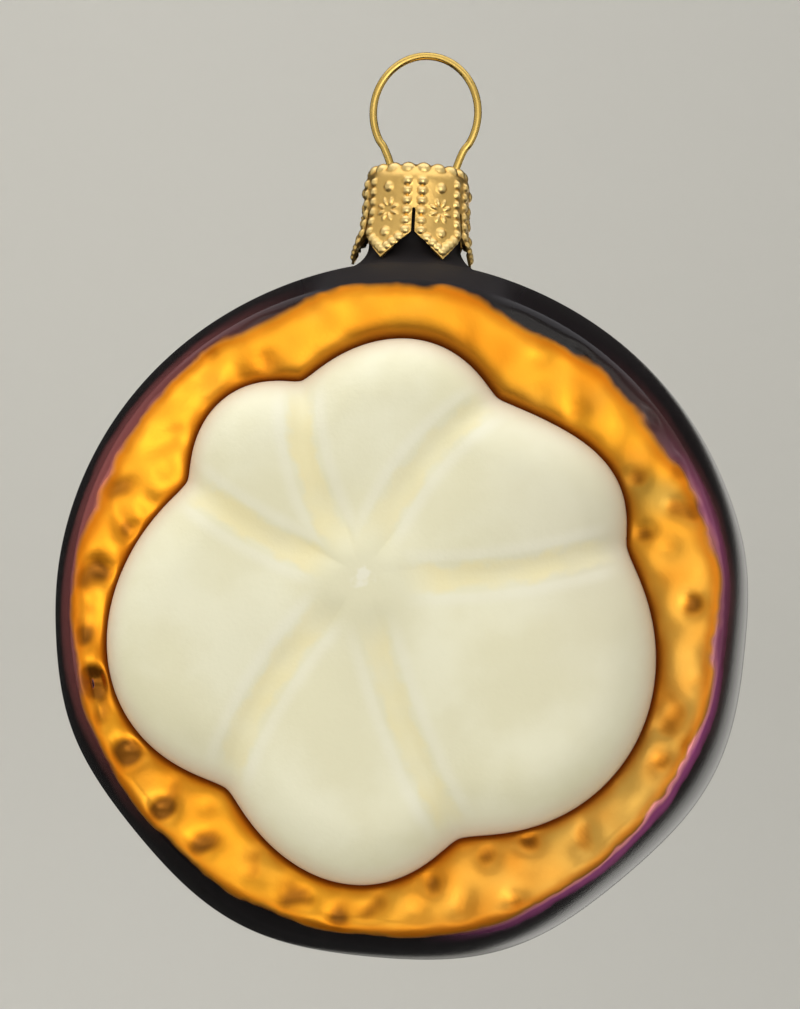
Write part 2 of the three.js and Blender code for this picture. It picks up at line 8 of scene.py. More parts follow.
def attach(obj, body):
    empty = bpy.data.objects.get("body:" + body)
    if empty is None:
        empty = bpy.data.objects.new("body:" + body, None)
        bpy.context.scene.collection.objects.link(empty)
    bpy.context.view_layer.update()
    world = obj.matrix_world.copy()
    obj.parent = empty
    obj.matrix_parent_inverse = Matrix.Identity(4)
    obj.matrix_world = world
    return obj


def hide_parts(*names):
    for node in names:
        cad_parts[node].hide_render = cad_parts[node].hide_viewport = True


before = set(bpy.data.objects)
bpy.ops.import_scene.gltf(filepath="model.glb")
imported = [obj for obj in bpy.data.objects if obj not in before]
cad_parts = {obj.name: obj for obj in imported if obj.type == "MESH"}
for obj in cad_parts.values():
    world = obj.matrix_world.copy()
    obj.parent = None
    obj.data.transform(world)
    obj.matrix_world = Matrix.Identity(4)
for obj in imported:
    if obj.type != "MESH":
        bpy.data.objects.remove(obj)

# A blown glass tree ornament in the form of a halved mangosteen, with a stamped crown cap and a wire loop.
# Shapes are worked out in millimetres and turned into metres as their meshes are made.
# The body is written in a face frame about its own centre: x to the right, v up, w towards the viewer.
MM = 0.001

# Wire loop
WIRE_RADIUS = 0.4
WIRE_SIDES = 20
LOOP_HALF_WIDTH = 5.45
LOOP_HALF_HEIGHT = 6
LOOP_ABOVE_CAP = 6.15
LOOP_OPEN_ANGLE = 42
LEG_AT_CAP_X = 3.3
LEG_IN_NECK_X = 3.0
LEG_END_X = 6.2
LEG_LENGTH = 19
LEG_BENDS = (2.5, 7, 12)
LOOP_ANGLE_STEP = 12
WIRE_POINTS_A_SPAN = 10

# Crown cap
CAP_RADIUS = 5.45
CAP_SHEET = 0.28
CAP_EDGE_ROUND = 2
CAP_HEIGHT = 10
LOBE_COUNT = 6
SLIT_TOP = 4.7
SLIT_WIDTH = 0.35
LOBE_SHOULDER = 7.3
LOBE_FLARE = (0.5, 0.95, 1.1, 1.05, 0.95, 0.9)
CAP_HOLE_RADIUS = 0.75
EDGE_BEAD_RADIUS = 0.78
EDGE_BEAD_COUNT = 18
EDGE_BEAD_TURN = 52
EDGE_BEAD_HEIGHT = 0.42
ROW_BEAD_RADIUS = 0.52
ROW_BEAD_SPACING = 1.02
ROW_BEAD_START = 2.0
ROW_BEAD_GAP = 0.08
ROW_BEAD_HEIGHT = 0.34
TIP_BEAD_INSET = 0.85
POINT_BEAD_PARTS = (0.28, 0.56, 0.8)
POINT_BEAD_DROP = 0.1
POINT_BEAD_INSET = 1.0
DOT_DEPTHS = (2.6, 7.3)
DOT_RADII = (0.58, 0.55)
DOT_HEIGHT = 0.3
PETAL_COUNT = 8
PETAL_CENTRE_DEPTH = 4.95
PETAL_RING_RADIUS = 0.85
PETAL_HALF_LENGTH = 0.52
PETAL_HALF_WIDTH = 0.25
PETAL_HEIGHT = 0.22
BUMP_FULLNESS = 0.85
SLIT_END = 0.25
POINT_BLUNTNESS = 0.985
FLARE_CURVE = 1.3
WELD_DISTANCE = 0.004
CAP_TOP_RINGS = 16
CAP_EDGE_RINGS = 26
CAP_HOLE_SIDES = 32
LOBE_COLUMNS = 46
SKIRT_ROWS = 84

# Glass neck: like the cap, it stands a little to the left of the loop
NECK_X = -0.5
NECK_RADIUS = 4.75
NECK_BORE_RADIUS = 3.9
NECK_BORE_SIDES = 64
NECK_GAP = 0.85
NECK_RIM_BEVEL = 0.25
NECK_SIDES = 128
NECK_FILLET_REACH = 8
NECK_FILLET_RISE = 2.4
NECK_FILLET_SINK = 0.02
NECK_FILLET_STEPS = 18
NECK_ROOT = 28

# Glass body
WALL = 0.95
CAP_TOP_TO_CENTRE = 45.95
BODY_FORWARD = 2.1
BODY_RADIUS = 35.25
FRONT_DEPTH = 32
BACK_DEPTH = 27.6
BACK_FULLNESS = 2.2
SHOULDER_RISE = 0.65
SHOULDER_WIDTH = 12
SIDE_WAVE = 0.33
SIDE_WAVES = 8
SIDE_WAVE_PEAK = 200
SIDE_WAVE_DEPTH = 14
SIDE_WAVE_TILT = 10
SIDE_WAVE_FADE = 0.3

# Rim between the side and the cut face
RIM_TANGENT_DEPTH = 13.2
RIM_ROUND = 1.4
RIM_INNER_ANGLE = 100
RIM_HOLLOW_MOST = 0.9

# Cut face of the rind
DISH_DEPTH = 13.1
DISH_REACH = 5
TRENCH_DEPTH = 1.2
TRENCH_WIDTH = 1
DIMPLE_STEPS = 38
DIMPLE_LANES = (0.1, 0.5, 0.9)
DIMPLE_ANGLE_SHIFT = 0.5
DIMPLE_LANE_SHIFT = 0.24
DIMPLE_FROM_FLESH = 1.2
DIMPLE_INTO_RIM = 0.6
DIMPLE_RADIUS = 1.3
DIMPLE_LEAST = 0.1
DIMPLE_MOST = 0.6
DIMPLE_RIM_FADE = 50
SMOOTH_MIDDLE = 88
SMOOTH_INNER = 18
SMOOTH_OUTER = 40
SMOOTH_DEPTH = 0.25

# Factors of the repeatable uneven values
UNEVEN_INDEX = 12.9898
UNEVEN_SALT = 78.233
UNEVEN_SPREAD = 43758.5453

# Flesh: the notch where each segment begins, the outline's reach there, how far the segment swells
# beyond the straight run to the next notch, and how far its groove bows sideways
FLESH_X = -3.2
FLESH_V = 2.65
NOTCH = np.array([9.5, 56, 110.5, 154, 239, 292.5])
REACH = np.array([25.8, 22, 20.5, 20, 24.6, 27])
SWELL = np.array([1.6, 2.7, 2.3, 3.8, 3.8, 4.5])
BOW = np.array([-1.4, 2, 1.8, 1.1, -1.7, -1.2])
SWELL_FULLNESS = 0.85
NOTCH_ROUND = 0.25
FLESH_CROWN = 17.8
FLESH_FALL = 0.8
FLESH_EDGE_ROUND = 6.5
GROOVE_DEPTH = 0.4
GROOVE_WIDTH = 1.3
SADDLE_DEPTH = 0.8
SADDLE_WIDTH = 5
GROOVE_START = 0.08
GROOVE_FULL = 0.45

# Low six-lobed relief of the blossom end, on the back
ROSETTE_RADIUS = 5.2
ROSETTE_WAVE = 1.3
ROSETTE_RISE = 0.6
ROSETTE_EDGE_BLUR = 0.6
ROSETTE_MIDDLE_SHARE = 0.4
ROSETTE_MIDDLE = (0.3, 2)

# Mesh steps
COLUMN_STEP = 0.75
FLESH_RINGS = 60
FLESH_RING_CROWDING = 1.5
FACE_RINGS = 22
RIM_STEPS = 14
SIDE_STEPS = 12
BACK_STEPS = 30
ROSETTE_RINGS = 22
BACK_STEPS_ANGLE = 68
HOLLOW_SKIP = 4

# Where the paint and the painted shade change: size, angle and the angle that it takes to fade
BORDER_REST = 0.35
BORDER_WAVES = (
    (-0.9, 48, 45), (0.6, 285, 100), (0.9, 97, 20), (0.5, 200, 50), (0.6, 243, 30),
    (-0.6, 63, 14), (-0.6, 163, 14), (-0.5, 353, 12),
)
PAINT_SIDES = {
    "red_side": ((1, 168, 64), (0.3, 10, 50)),
    "purple_side": ((0.25, 14, 26), (1, 322, 46)),
    "pale_side": ((0.7, 325, 75),),
    # Painted shade on the gold beside the flesh, mostly at the top
    "trench_shade_side": ((1, 85, 75), (0.5, 0, 60)),
    "near_neck": ((1, 90, 24),),
}
OLIVE_SIDE = ((0.7, 0, 80),)
OLIVE_EVERYWHERE = 0.2
# Painted shade on the flesh: greyer towards the outline on the right
FLESH_SHADE_SIDE = ((1, 8, 60),)
FRONT_MARGIN = 0.6
FAR_FROM_FLESH = -20

LOOP_CENTRE_Z = WIRE_RADIUS - LOOP_HALF_HEIGHT
CAP_TOP_Z = LOOP_CENTRE_Z - LOOP_ABOVE_CAP
BODY_Z = CAP_TOP_Z - CAP_TOP_TO_CENTRE
NECK_TOP = CAP_TOP_TO_CENTRE - CAP_SHEET - NECK_GAP

# The photograph's view
PHOTO_WIDTH = 800
PHOTO_HEIGHT = 1009
BODY_CENTRE_PIXEL = (402, 612)
MM_A_PIXEL = 0.1021
CAMERA_DISTANCE = 300
CAMERA_AZIMUTH = 2.7
CAMERA_ELEVATION = -2.3
CAMERA_ROLL = 2.6
CAMERA_SENSOR = 36
CAMERA_CLIP = (0.01, 20)

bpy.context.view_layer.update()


def smoothstep(value, low, high):
    part = np.clip((value - low) / (high - low), 0, 1)
    return part * part * (3 - 2 * part)


def direction(angle):
    return np.cos(np.radians(angle)), np.sin(np.radians(angle))


def place(x, v, w):
    """From the face frame to the ornament's own frame, in millimetres."""
    x, v, w = np.broadcast_arrays(x, v, w)
    return np.stack([x, -BODY_FORWARD - w, BODY_Z + v], axis=-1)


# Shape of the cut face

def flesh_reach(angle):
    """Reach of the flesh's outline at an angle about the flesh centre."""
    turned = np.mod(angle - NOTCH[0], 360) + NOTCH[0]
    here = np.searchsorted(NOTCH, turned + 1e-9, side="right") - 1
    after = (here + 1) % len(NOTCH)
    span = np.mod(NOTCH[after] - NOTCH[here], 360)
    part = np.maximum(0, turned - NOTCH[here]) / span
    eased = part - np.sin(2 * np.pi * part) / (2 * np.pi)
    sine = np.maximum(0, np.sin(np.pi * part)) ** SWELL_FULLNESS
    rounded = (np.hypot(sine, NOTCH_ROUND) - NOTCH_ROUND) / (math.hypot(1, NOTCH_ROUND) - NOTCH_ROUND)
    return REACH[here] + (REACH[after] - REACH[here]) * eased + SWELL[here] * rounded


def groove_distances(x, v):
    """Distances from a point, given about the flesh centre, to each groove."""
    for notch, reach, bow in zip(NOTCH, REACH, BOW):
        across, up = direction(notch)
        along = x * across + v * up
        aside = v * across - x * up
        part = np.minimum(along / reach, 1)
        yield np.where(along > 0, aside - bow * 4 * part * (1 - part), np.hypot(x, v))


def grooving(x, v):
    """Depth of the grooves between the segments, and of the wide dips that they lie in."""
    depth = np.zeros(np.shape(x))
    for distance in groove_distances(x, v):
        depth += GROOVE_DEPTH * np.exp(-((distance / GROOVE_WIDTH) ** 2))
        depth += SADDLE_DEPTH * np.exp(-((distance / SADDLE_WIDTH) ** 2))
    return depth


def cushion(distance, width):
    """A quarter ellipse: 0 at the edge, 1 from the given width on."""
    return np.sqrt(1 - (1 - np.clip(distance / width, 0, 1)) ** 2)


RIM_SIDE_RADIUS = BODY_RADIUS * math.sqrt(1 - (RIM_TANGENT_DEPTH / FRONT_DEPTH) ** 2)
RIM_OUTWARD = math.atan2(RIM_TANGENT_DEPTH / FRONT_DEPTH ** 2, RIM_SIDE_RADIUS / BODY_RADIUS ** 2)
RIM_RADIUS = RIM_SIDE_RADIUS - RIM_ROUND * math.cos(RIM_OUTWARD)
RIM_DEPTH = RIM_TANGENT_DEPTH - RIM_ROUND * math.sin(RIM_OUTWARD)
FACE_EDGE_RADIUS = RIM_RADIUS + RIM_ROUND * math.cos(math.radians(RIM_INNER_ANGLE))
FACE_EDGE_DEPTH = RIM_DEPTH + RIM_ROUND * math.sin(math.radians(RIM_INNER_ANGLE))


def face_reach(angle):
    """Where a ray from the flesh centre meets the inner foot of the rim."""
    across, up = direction(angle)
    toward = FLESH_X * across + FLESH_V * up
    offset = FLESH_X ** 2 + FLESH_V ** 2
    return np.sqrt(toward ** 2 - offset + FACE_EDGE_RADIUS ** 2) - toward


def uneven(index, salt):
    """Repeatable uneven values between 0 and 1."""
    value = np.sin(index * UNEVEN_INDEX + salt * UNEVEN_SALT) * UNEVEN_SPREAD
    return value - np.floor(value)


def make_dimples():
    """Places and depths of the dimples in the cut rind, about the flesh centre."""
    step, row = np.meshgrid(np.arange(DIMPLE_STEPS), np.arange(len(DIMPLE_LANES)), indexing="ij")
    seed = step * len(DIMPLE_LANES) + row
    angle = (step + 0.5 * (row % 2) + DIMPLE_ANGLE_SHIFT * uneven(seed, 1)) * 360 / DIMPLE_STEPS
    lane = np.array(DIMPLE_LANES)[row] + DIMPLE_LANE_SHIFT * (uneven(seed, 2) - 0.5)
    inner, outer = flesh_reach(angle) + DIMPLE_FROM_FLESH, face_reach(angle) + DIMPLE_INTO_RIM
    radius = inner + (outer - inner) * lane
    turn = np.abs(np.mod(angle - SMOOTH_MIDDLE + 180, 360) - 180)
    wild = SMOOTH_DEPTH + (1 - SMOOTH_DEPTH) * smoothstep(turn, SMOOTH_INNER, SMOOTH_OUTER)
    depth = wild * (DIMPLE_LEAST + (DIMPLE_MOST - DIMPLE_LEAST) * uneven(seed, 3))
    across, up = direction(angle)
    return (radius * across).ravel(), (radius * up).ravel(), depth.ravel()


DIMPLES = make_dimples()


def dimpling(x, v):
    total = np.zeros(np.shape(x))
    for dimple_x, dimple_v, depth in zip(*DIMPLES):
        square = ((x - dimple_x) ** 2 + (v - dimple_v) ** 2) / DIMPLE_RADIUS ** 2
        total += depth * np.exp(-square)
    return total


def face_sinking(x, v, dimples=True):
    """How far the gold face sinks about the flesh centre: a trench along the flesh, and dimples."""
    beyond = np.maximum(0, np.hypot(x, v) - flesh_reach(np.degrees(np.arctan2(v, x))))
    hollows = dimpling(x, v) * smoothstep(beyond, 0, TRENCH_WIDTH) if dimples else 0
    return TRENCH_DEPTH * np.exp(-beyond / TRENCH_WIDTH) + hollows


def face_height(x, v, dimples=True):
    """Depth of the gold face at a point given about the flesh centre."""
    radius = np.hypot(x + FLESH_X, v + FLESH_V)
    to_rim = np.maximum(0, FACE_EDGE_RADIUS - radius) / DISH_REACH
    dish = DISH_DEPTH + (FACE_EDGE_DEPTH - DISH_DEPTH) * np.exp(-to_rim)
    return dish - face_sinking(x, v, dimples)


def flesh_height(x, v):
    """Depth of the flesh at a point given about the flesh centre."""
    angle = np.degrees(np.arctan2(v, x))
    reach = flesh_reach(angle)
    radius = np.hypot(x, v)
    across, up = direction(angle)
    foot = face_height(reach * across, reach * up, dimples=False)
    edge = cushion(reach - radius, FLESH_EDGE_ROUND)
    sunken = grooving(x, v) * smoothstep(radius / reach, GROOVE_START, GROOVE_FULL)
    crown = FLESH_CROWN - FLESH_FALL * (radius / reach) ** 2
    return foot + (crown - foot - sunken) * edge


# Shape of the side and back

def shoulder(x, w):
    square = ((x - NECK_X) / SHOULDER_WIDTH) ** 2 + ((w + BODY_FORWARD) / SHOULDER_WIDTH) ** 2
    return SHOULDER_RISE * np.exp(-square)


def side_wave(angle, w):
    """Uneven roundness of the lower side, as blown."""
    low = smoothstep(-direction(angle - SIDE_WAVE_TILT)[1], -SIDE_WAVE_FADE, SIDE_WAVE_FADE)
    middle = np.exp(-((w / SIDE_WAVE_DEPTH) ** 2))
    return SIDE_WAVE * low * middle * direction(SIDE_WAVES * (angle - SIDE_WAVE_PEAK))[0]


def body_point(angle, radius, w):
    """Point of the rim, side or back at an angle about the body's centre."""
    across, up = direction(angle)
    top = np.where(up > 0, shoulder(radius * across, w), 0)
    waved = radius + side_wave(angle, w) * min(radius / BODY_RADIUS, 1)
    return place(waved * across, waved * up + top, w)


def rosette(angle, radius):
    edge = ROSETTE_RADIUS + ROSETTE_WAVE * direction(len(NOTCH) * angle)[0]
    petals = 1 - smoothstep(radius, edge - ROSETTE_EDGE_BLUR, edge + ROSETTE_EDGE_BLUR)
    outwards = smoothstep(radius, *ROSETTE_MIDDLE)
    return ROSETTE_RISE * petals * (ROSETTE_MIDDLE_SHARE + (1 - ROSETTE_MIDDLE_SHARE) * outwards)


def back_depth(radius):
    return -BACK_DEPTH * (1 - (radius / BODY_RADIUS) ** BACK_FULLNESS) ** (1 / BACK_FULLNESS)


def side_profile():
    """Radius and depth of each ring from the rim's tangent to the back's pole."""
    rim_turn = math.asin(RIM_TANGENT_DEPTH / FRONT_DEPTH)
    profile = []
    for step in range(1, SIDE_STEPS):
        turn = rim_turn * (1 - step / SIDE_STEPS)
        profile.append((BODY_RADIUS * math.cos(turn), FRONT_DEPTH * math.sin(turn)))
    for step in range(BACK_STEPS):
        turn = math.radians(BACK_STEPS_ANGLE) * step / (BACK_STEPS - 1)
        radius = BODY_RADIUS * math.cos(turn) ** (2 / BACK_FULLNESS)
        profile.append((radius, back_depth(radius)))
    last = profile[-1][0]
    for step in range(1, ROSETTE_RINGS):
        radius = last * (1 - step / ROSETTE_RINGS)
        profile.append((radius, back_depth(radius)))
    return profile


def column_angles():
    """Angles of the mesh columns: every segment is split evenly, so that each notch has a column."""
    angles = []
    for index, notch in enumerate(NOTCH):
        span = (NOTCH[(index + 1) % len(NOTCH)] - notch) % 360
        count = HOLLOW_SKIP * round(span / COLUMN_STEP / HOLLOW_SKIP)
        angles.append(notch + span * np.arange(count) / count)
    return np.concatenate(angles)


def skin_rings(columns):
    """Rings of the outer skin, from the flesh centre over the rim to the back."""
    across, up = direction(columns)
    inner, outer = flesh_reach(columns), face_reach(columns)
    rings = []
    for step in range(1, FLESH_RINGS + 1):
        part = 1 - (1 - step / FLESH_RINGS) ** FLESH_RING_CROWDING
        x, v = part * inner * across, part * inner * up
        rings.append(place(x + FLESH_X, v + FLESH_V, flesh_height(x, v)))
    for step in range(1, FACE_RINGS):
        radius = inner + (outer - inner) * step / FACE_RINGS
        x, v = radius * across, radius * up
        rings.append(place(x + FLESH_X, v + FLESH_V, face_height(x, v)))
    body_angle = np.degrees(np.arctan2(FLESH_V + outer * up, FLESH_X + outer * across))
    for step in range(RIM_STEPS + 1):
        start = math.radians(RIM_INNER_ANGLE)
        turn = start + (RIM_OUTWARD - start) * step / RIM_STEPS
        radius = RIM_RADIUS + RIM_ROUND * math.cos(turn)
        depth = RIM_DEPTH + RIM_ROUND * math.sin(turn)
        edge = body_point(body_angle, radius, depth)
        # The face's trench and dimples fade out as the rim rolls over
        fade = 1 - smoothstep(np.degrees(start - turn), 0, DIMPLE_RIM_FADE)
        x = edge[:, 0] - FLESH_X
        v = edge[:, 2] - BODY_Z - FLESH_V
        edge[:, 1] += face_sinking(x, v) * fade
        rings.append(edge)
    for radius, depth in side_profile():
        rings.append(body_point(body_angle, radius, depth - rosette(body_angle, radius)))
    return rings


# Mesh building

def make_mesh(name, points, faces):
    mesh = bpy.data.meshes.new(name)
    mesh.from_pydata((np.asarray(points) * MM).tolist(), [], faces)
    mesh.validate()
    return mesh


def make_object(name, mesh):
    piece = bpy.data.objects.new(name, mesh)
    bpy.context.collection.objects.link(piece)
    return piece


def ring_body(name, rings, first_pole, last_pole):
    """A closed body from rings of points, with a pole before the first ring and after the last."""
    columns = len(rings[0])
    points = np.vstack([[first_pole], *rings, [last_pole]])
    here = np.arange(columns)
    after = (here + 1) % columns
    faces = [(0, 1 + a, 1 + b) for a, b in zip(here.tolist(), after.tolist())]
    for ring in range(len(rings) - 1):
        near, far = 1 + ring * columns, 1 + (ring + 1) * columns
        quads = np.stack([near + here, far + here, far + after, near + after], axis=-1)
        faces.extend(map(tuple, quads.tolist()))
    last = 1 + (len(rings) - 1) * columns
    end = len(points) - 1
    faces.extend((end, last + b, last + a) for a, b in zip(here.tolist(), after.tolist()))
    return make_object(name, make_mesh(name, points, faces))


def settle(piece):
    """Applies the piece's modifiers to its mesh."""
    bpy.context.view_layer.update()
    graph = bpy.context.evaluated_depsgraph_get()
    mesh = bpy.data.meshes.new_from_object(piece.evaluated_get(graph))
    piece.modifiers.clear()
    piece.data = mesh


def combine(piece, tool, operation):
    cut = piece.modifiers.new("combine", "BOOLEAN")
    cut.operation = operation
    cut.object = tool
    cut.solver = "MANIFOLD"
    settle(piece)
    bpy.data.objects.remove(tool)


def cylinder(name, radius, centre, height, sides):
    turns = np.arange(sides) * 2 * np.pi / sides
    ring = np.stack([radius * np.cos(turns), radius * np.sin(turns), np.zeros(sides)], axis=-1)
    low = np.array(centre) - (0, 0, height / 2)
    high = np.array(centre) + (0, 0, height / 2)
    return ring_body(name, [ring + high, ring + low], high, low)


def shade_smooth(piece, sharp_angle):
    piece.data.shade_smooth()
    piece.data.set_sharp_from_angle(angle=math.radians(sharp_angle))


def point_values(mesh):
    points = np.empty(len(mesh.vertices) * 3)
    mesh.vertices.foreach_get("co", points)
    return points.reshape(-1, 3) / MM


def store(mesh, name, values):
    attribute = mesh.attributes.new(name, "FLOAT", "POINT")
    attribute.data.foreach_set("value", np.asarray(values, np.float32))


# Glass body

def hollow_body(skin, rings, column_count):
    """The hollow: some rings and columns of the skin, moved inwards by the wall."""
    mesh = skin.data
    normals = np.array([vertex.normal[:] for vertex in mesh.vertices])
    inner = point_values(mesh) - WALL * normals
    kept = [ring for ring in range(len(rings)) if (ring - FLESH_RINGS + 1) % HOLLOW_SKIP == 0]
    columns = np.arange(0, column_count, HOLLOW_SKIP)
    loops = [inner[1 + ring * column_count + columns] for ring in kept]
    return ring_body("hollow", loops, inner[0], inner[-1])


def top_height(x, w):
    """Height of the body's top above its centre, over a point of the neck's foot."""
    front = BODY_RADIUS * np.sqrt(1 - (np.maximum(w, 0) / FRONT_DEPTH) ** 2)
    behind = (np.maximum(-w, 0) / BACK_DEPTH) ** BACK_FULLNESS
    radius = np.where(w > 0, front, BODY_RADIUS * (1 - behind) ** (1 / BACK_FULLNESS))
    return np.sqrt(radius ** 2 - x ** 2) + shoulder(x, w)


def neck_body():
    turns = np.arange(NECK_SIDES) * 2 * np.pi / NECK_SIDES

    def circle(radius, height):
        x, y = NECK_X + radius * np.cos(turns), radius * np.sin(turns)
        z = height(x, -y - BODY_FORWARD) + np.zeros(NECK_SIDES)
        return np.stack([x, y, BODY_Z + z], axis=-1)

    rings = [circle(NECK_RADIUS - NECK_RIM_BEVEL, lambda x, w: NECK_TOP)]
    rings.append(circle(NECK_RADIUS, lambda x, w: NECK_TOP - NECK_RIM_BEVEL))
    for step in range(NECK_FILLET_STEPS + 1):
        done = step / NECK_FILLET_STEPS
        part = math.cos(math.pi / 2 * done)
        rise = NECK_FILLET_RISE * (1 - math.sqrt(1 - part ** 2)) - NECK_FILLET_SINK * done
        radius = NECK_FILLET_REACH + (NECK_RADIUS - NECK_FILLET_REACH) * part
        rings.append(circle(radius, lambda x, w, rise=rise: top_height(x, w) + rise))
    rings.append(circle(NECK_FILLET_REACH, lambda x, w: NECK_ROOT))
    axis = [(NECK_X, 0, BODY_Z + height) for height in (NECK_TOP, NECK_ROOT)]
    return ring_body("neck", rings, *axis)


def rim_run(radius, w):
    """Way along the surface outwards from the rim's crest, below 0 on the face."""
    turn = np.arctan2(w - RIM_DEPTH, radius - RIM_RADIUS)
    on_rim = RIM_ROUND * (math.pi / 2 - turn)
    side = RIM_ROUND * (math.pi / 2 - RIM_OUTWARD) + (RIM_TANGENT_DEPTH - w)
    face = -RIM_ROUND * (math.radians(RIM_INNER_ANGLE) - math.pi / 2) - (FACE_EDGE_RADIUS - radius)
    on_face = (radius < FACE_EDGE_RADIUS) & (w > 0)
    on_side = (w < 0) | ((w < RIM_TANGENT_DEPTH - RIM_HOLLOW_MOST) & (radius > RIM_RADIUS))
    return np.where(on_face, face, np.where(on_side, side, on_rim))


def bump_on(angle, middle, half):
    """1 at one angle, falling smoothly to 0 on both sides of it."""
    turn = np.abs(np.mod(angle - middle + 180, 360) - 180)
    return 1 - smoothstep(turn, 0, half)


def patches(angle, rows):
    """Sum of bumps, each given by its size, its angle and the angle that it takes to fade."""
    return sum(size * bump_on(angle, middle, half) for size, middle, half in rows)


def store_paint_maps(mesh):
    """Distances and sides that the paint and the painted shade follow, kept on the mesh's points."""
    points = point_values(mesh)
    x, w, v = points[:, 0], -points[:, 1] - BODY_FORWARD, points[:, 2] - BODY_Z
    flesh_x, flesh_v = x - FLESH_X, v - FLESH_V
    front = w > DISH_DEPTH - TRENCH_DEPTH - DIMPLE_MOST - FRONT_MARGIN
    reach = flesh_reach(np.degrees(np.arctan2(flesh_v, flesh_x)))
    radius = np.hypot(flesh_x, flesh_v)
    store(mesh, "flesh_inside", np.where(front, reach - radius, FAR_FROM_FLESH))
    nearest = np.min([np.abs(distance) for distance in groove_distances(flesh_x, flesh_v)], axis=0)
    store(mesh, "groove", nearest)
    store(mesh, "groove_part", radius / reach)
    angle = np.degrees(np.arctan2(v, x))
    store(mesh, "rind_run", rim_run(np.hypot(x, v), w) - BORDER_REST - patches(angle, BORDER_WAVES))
    store(mesh, "dimple", np.where(front, dimpling(flesh_x, flesh_v), 0))
    for name, sides in PAINT_SIDES.items():
        store(mesh, name, patches(angle, sides))
    store(mesh, "olive_side", OLIVE_EVERYWHERE + patches(angle, OLIVE_SIDE))
    flesh_angle = np.degrees(np.arctan2(flesh_v, flesh_x))
    store(mesh, "flesh_shade_right", patches(flesh_angle, FLESH_SHADE_SIDE))


def make_glass_body():
    columns = column_angles()
    rings = skin_rings(columns)
    front = place(FLESH_X, FLESH_V, flesh_height(np.zeros(1), np.zeros(1))[0])
    back = place(0, 0, -BACK_DEPTH - float(rosette(0, 0)))
    glass = ring_body("painted_glass", rings, front, back)
    hollow = hollow_body(glass, rings, len(columns))
    combine(glass, neck_body(), "UNION")
    combine(glass, hollow, "DIFFERENCE")
    bore_height = CAP_TOP_TO_CENTRE - NECK_ROOT
    bore_middle = (NECK_X, 0, BODY_Z + NECK_ROOT + bore_height / 2)
    bore = cylinder("bore", NECK_BORE_RADIUS, bore_middle, bore_height, NECK_BORE_SIDES)
    combine(glass, bore, "DIFFERENCE")
    shade_smooth(glass, sharp_angle=50)
    store_paint_maps(glass.data)
    return glass


# Crown cap

def cap_bumps():
    """Beads, dots and petals on the cap: angle, depth along the sheet, two half sizes, turn, height."""
    bumps = []
    arc = math.pi / 2 * CAP_EDGE_ROUND
    to_run = arc - CAP_EDGE_ROUND
    for bead in range(EDGE_BEAD_COUNT):
        angle = -90 + (bead + 0.5) * 360 / EDGE_BEAD_COUNT
        run = arc - CAP_EDGE_ROUND * math.radians(EDGE_BEAD_TURN)
        bumps.append((angle, run, EDGE_BEAD_RADIUS, EDGE_BEAD_RADIUS, 0, EDGE_BEAD_HEIGHT))
    inset = SLIT_WIDTH / 2 + ROW_BEAD_RADIUS + ROW_BEAD_GAP
    side_angle = 180 / LOBE_COUNT - math.degrees(inset / CAP_RADIUS)
    row = np.arange(ROW_BEAD_START, LOBE_SHOULDER, ROW_BEAD_SPACING)
    for lobe in range(LOBE_COUNT):
        middle = lobe * 360 / LOBE_COUNT
        small = (ROW_BEAD_RADIUS, ROW_BEAD_RADIUS, 0, ROW_BEAD_HEIGHT)
        bumps.append((middle, CAP_HEIGHT - TIP_BEAD_INSET + to_run, *small))
        for side in (-1, 1):
            for depth in row:
                bumps.append((middle + side * side_angle, depth + to_run, *small))
            for part in POINT_BEAD_PARTS:
                length = CAP_HEIGHT - POINT_BEAD_INSET - LOBE_SHOULDER
                depth = LOBE_SHOULDER + POINT_BEAD_DROP + length * part
                bumps.append((middle + side * side_angle * (1 - part), depth + to_run, *small))
        for depth, radius in zip(DOT_DEPTHS, DOT_RADII):
            bumps.append((middle, depth + to_run, radius, radius, 0, DOT_HEIGHT))
        petal_shape = (PETAL_HALF_LENGTH, PETAL_HALF_WIDTH)
        for petal in range(PETAL_COUNT):
            turn = 2 * math.pi * (petal + 0.5) / PETAL_COUNT
            aside = math.degrees(PETAL_RING_RADIUS * math.cos(turn) / CAP_RADIUS)
            depth = PETAL_CENTRE_DEPTH + PETAL_RING_RADIUS * math.sin(turn)
            bumps.append((middle + aside, depth + to_run, *petal_shape, turn, PETAL_HEIGHT))
    return bumps


def cap_turn(run):
    """Tilt of the rounded edge at a run along the sheet: a right angle on the top, 0 on the side."""
    return np.clip(math.pi / 2 - run / CAP_EDGE_ROUND, 0, math.pi / 2)


def cap_relief(angle, run):
    relief = np.zeros(np.shape(angle))
    for bump_angle, bump_run, long_half, short_half, turn, height in cap_bumps():
        around = np.minimum(CAP_RADIUS, CAP_RADIUS - CAP_EDGE_ROUND * (1 - np.cos(cap_turn(run))))
        aside = np.radians(np.mod(angle - bump_angle + 180, 360) - 180) * around
        down = run - bump_run
        along = aside * math.cos(turn) + down * math.sin(turn)
        across = down * math.cos(turn) - aside * math.sin(turn)
        square = (along / long_half) ** 2 + (across / short_half) ** 2
        relief = np.maximum(relief, height * np.maximum(0, 1 - square) ** BUMP_FULLNESS)
    return relief


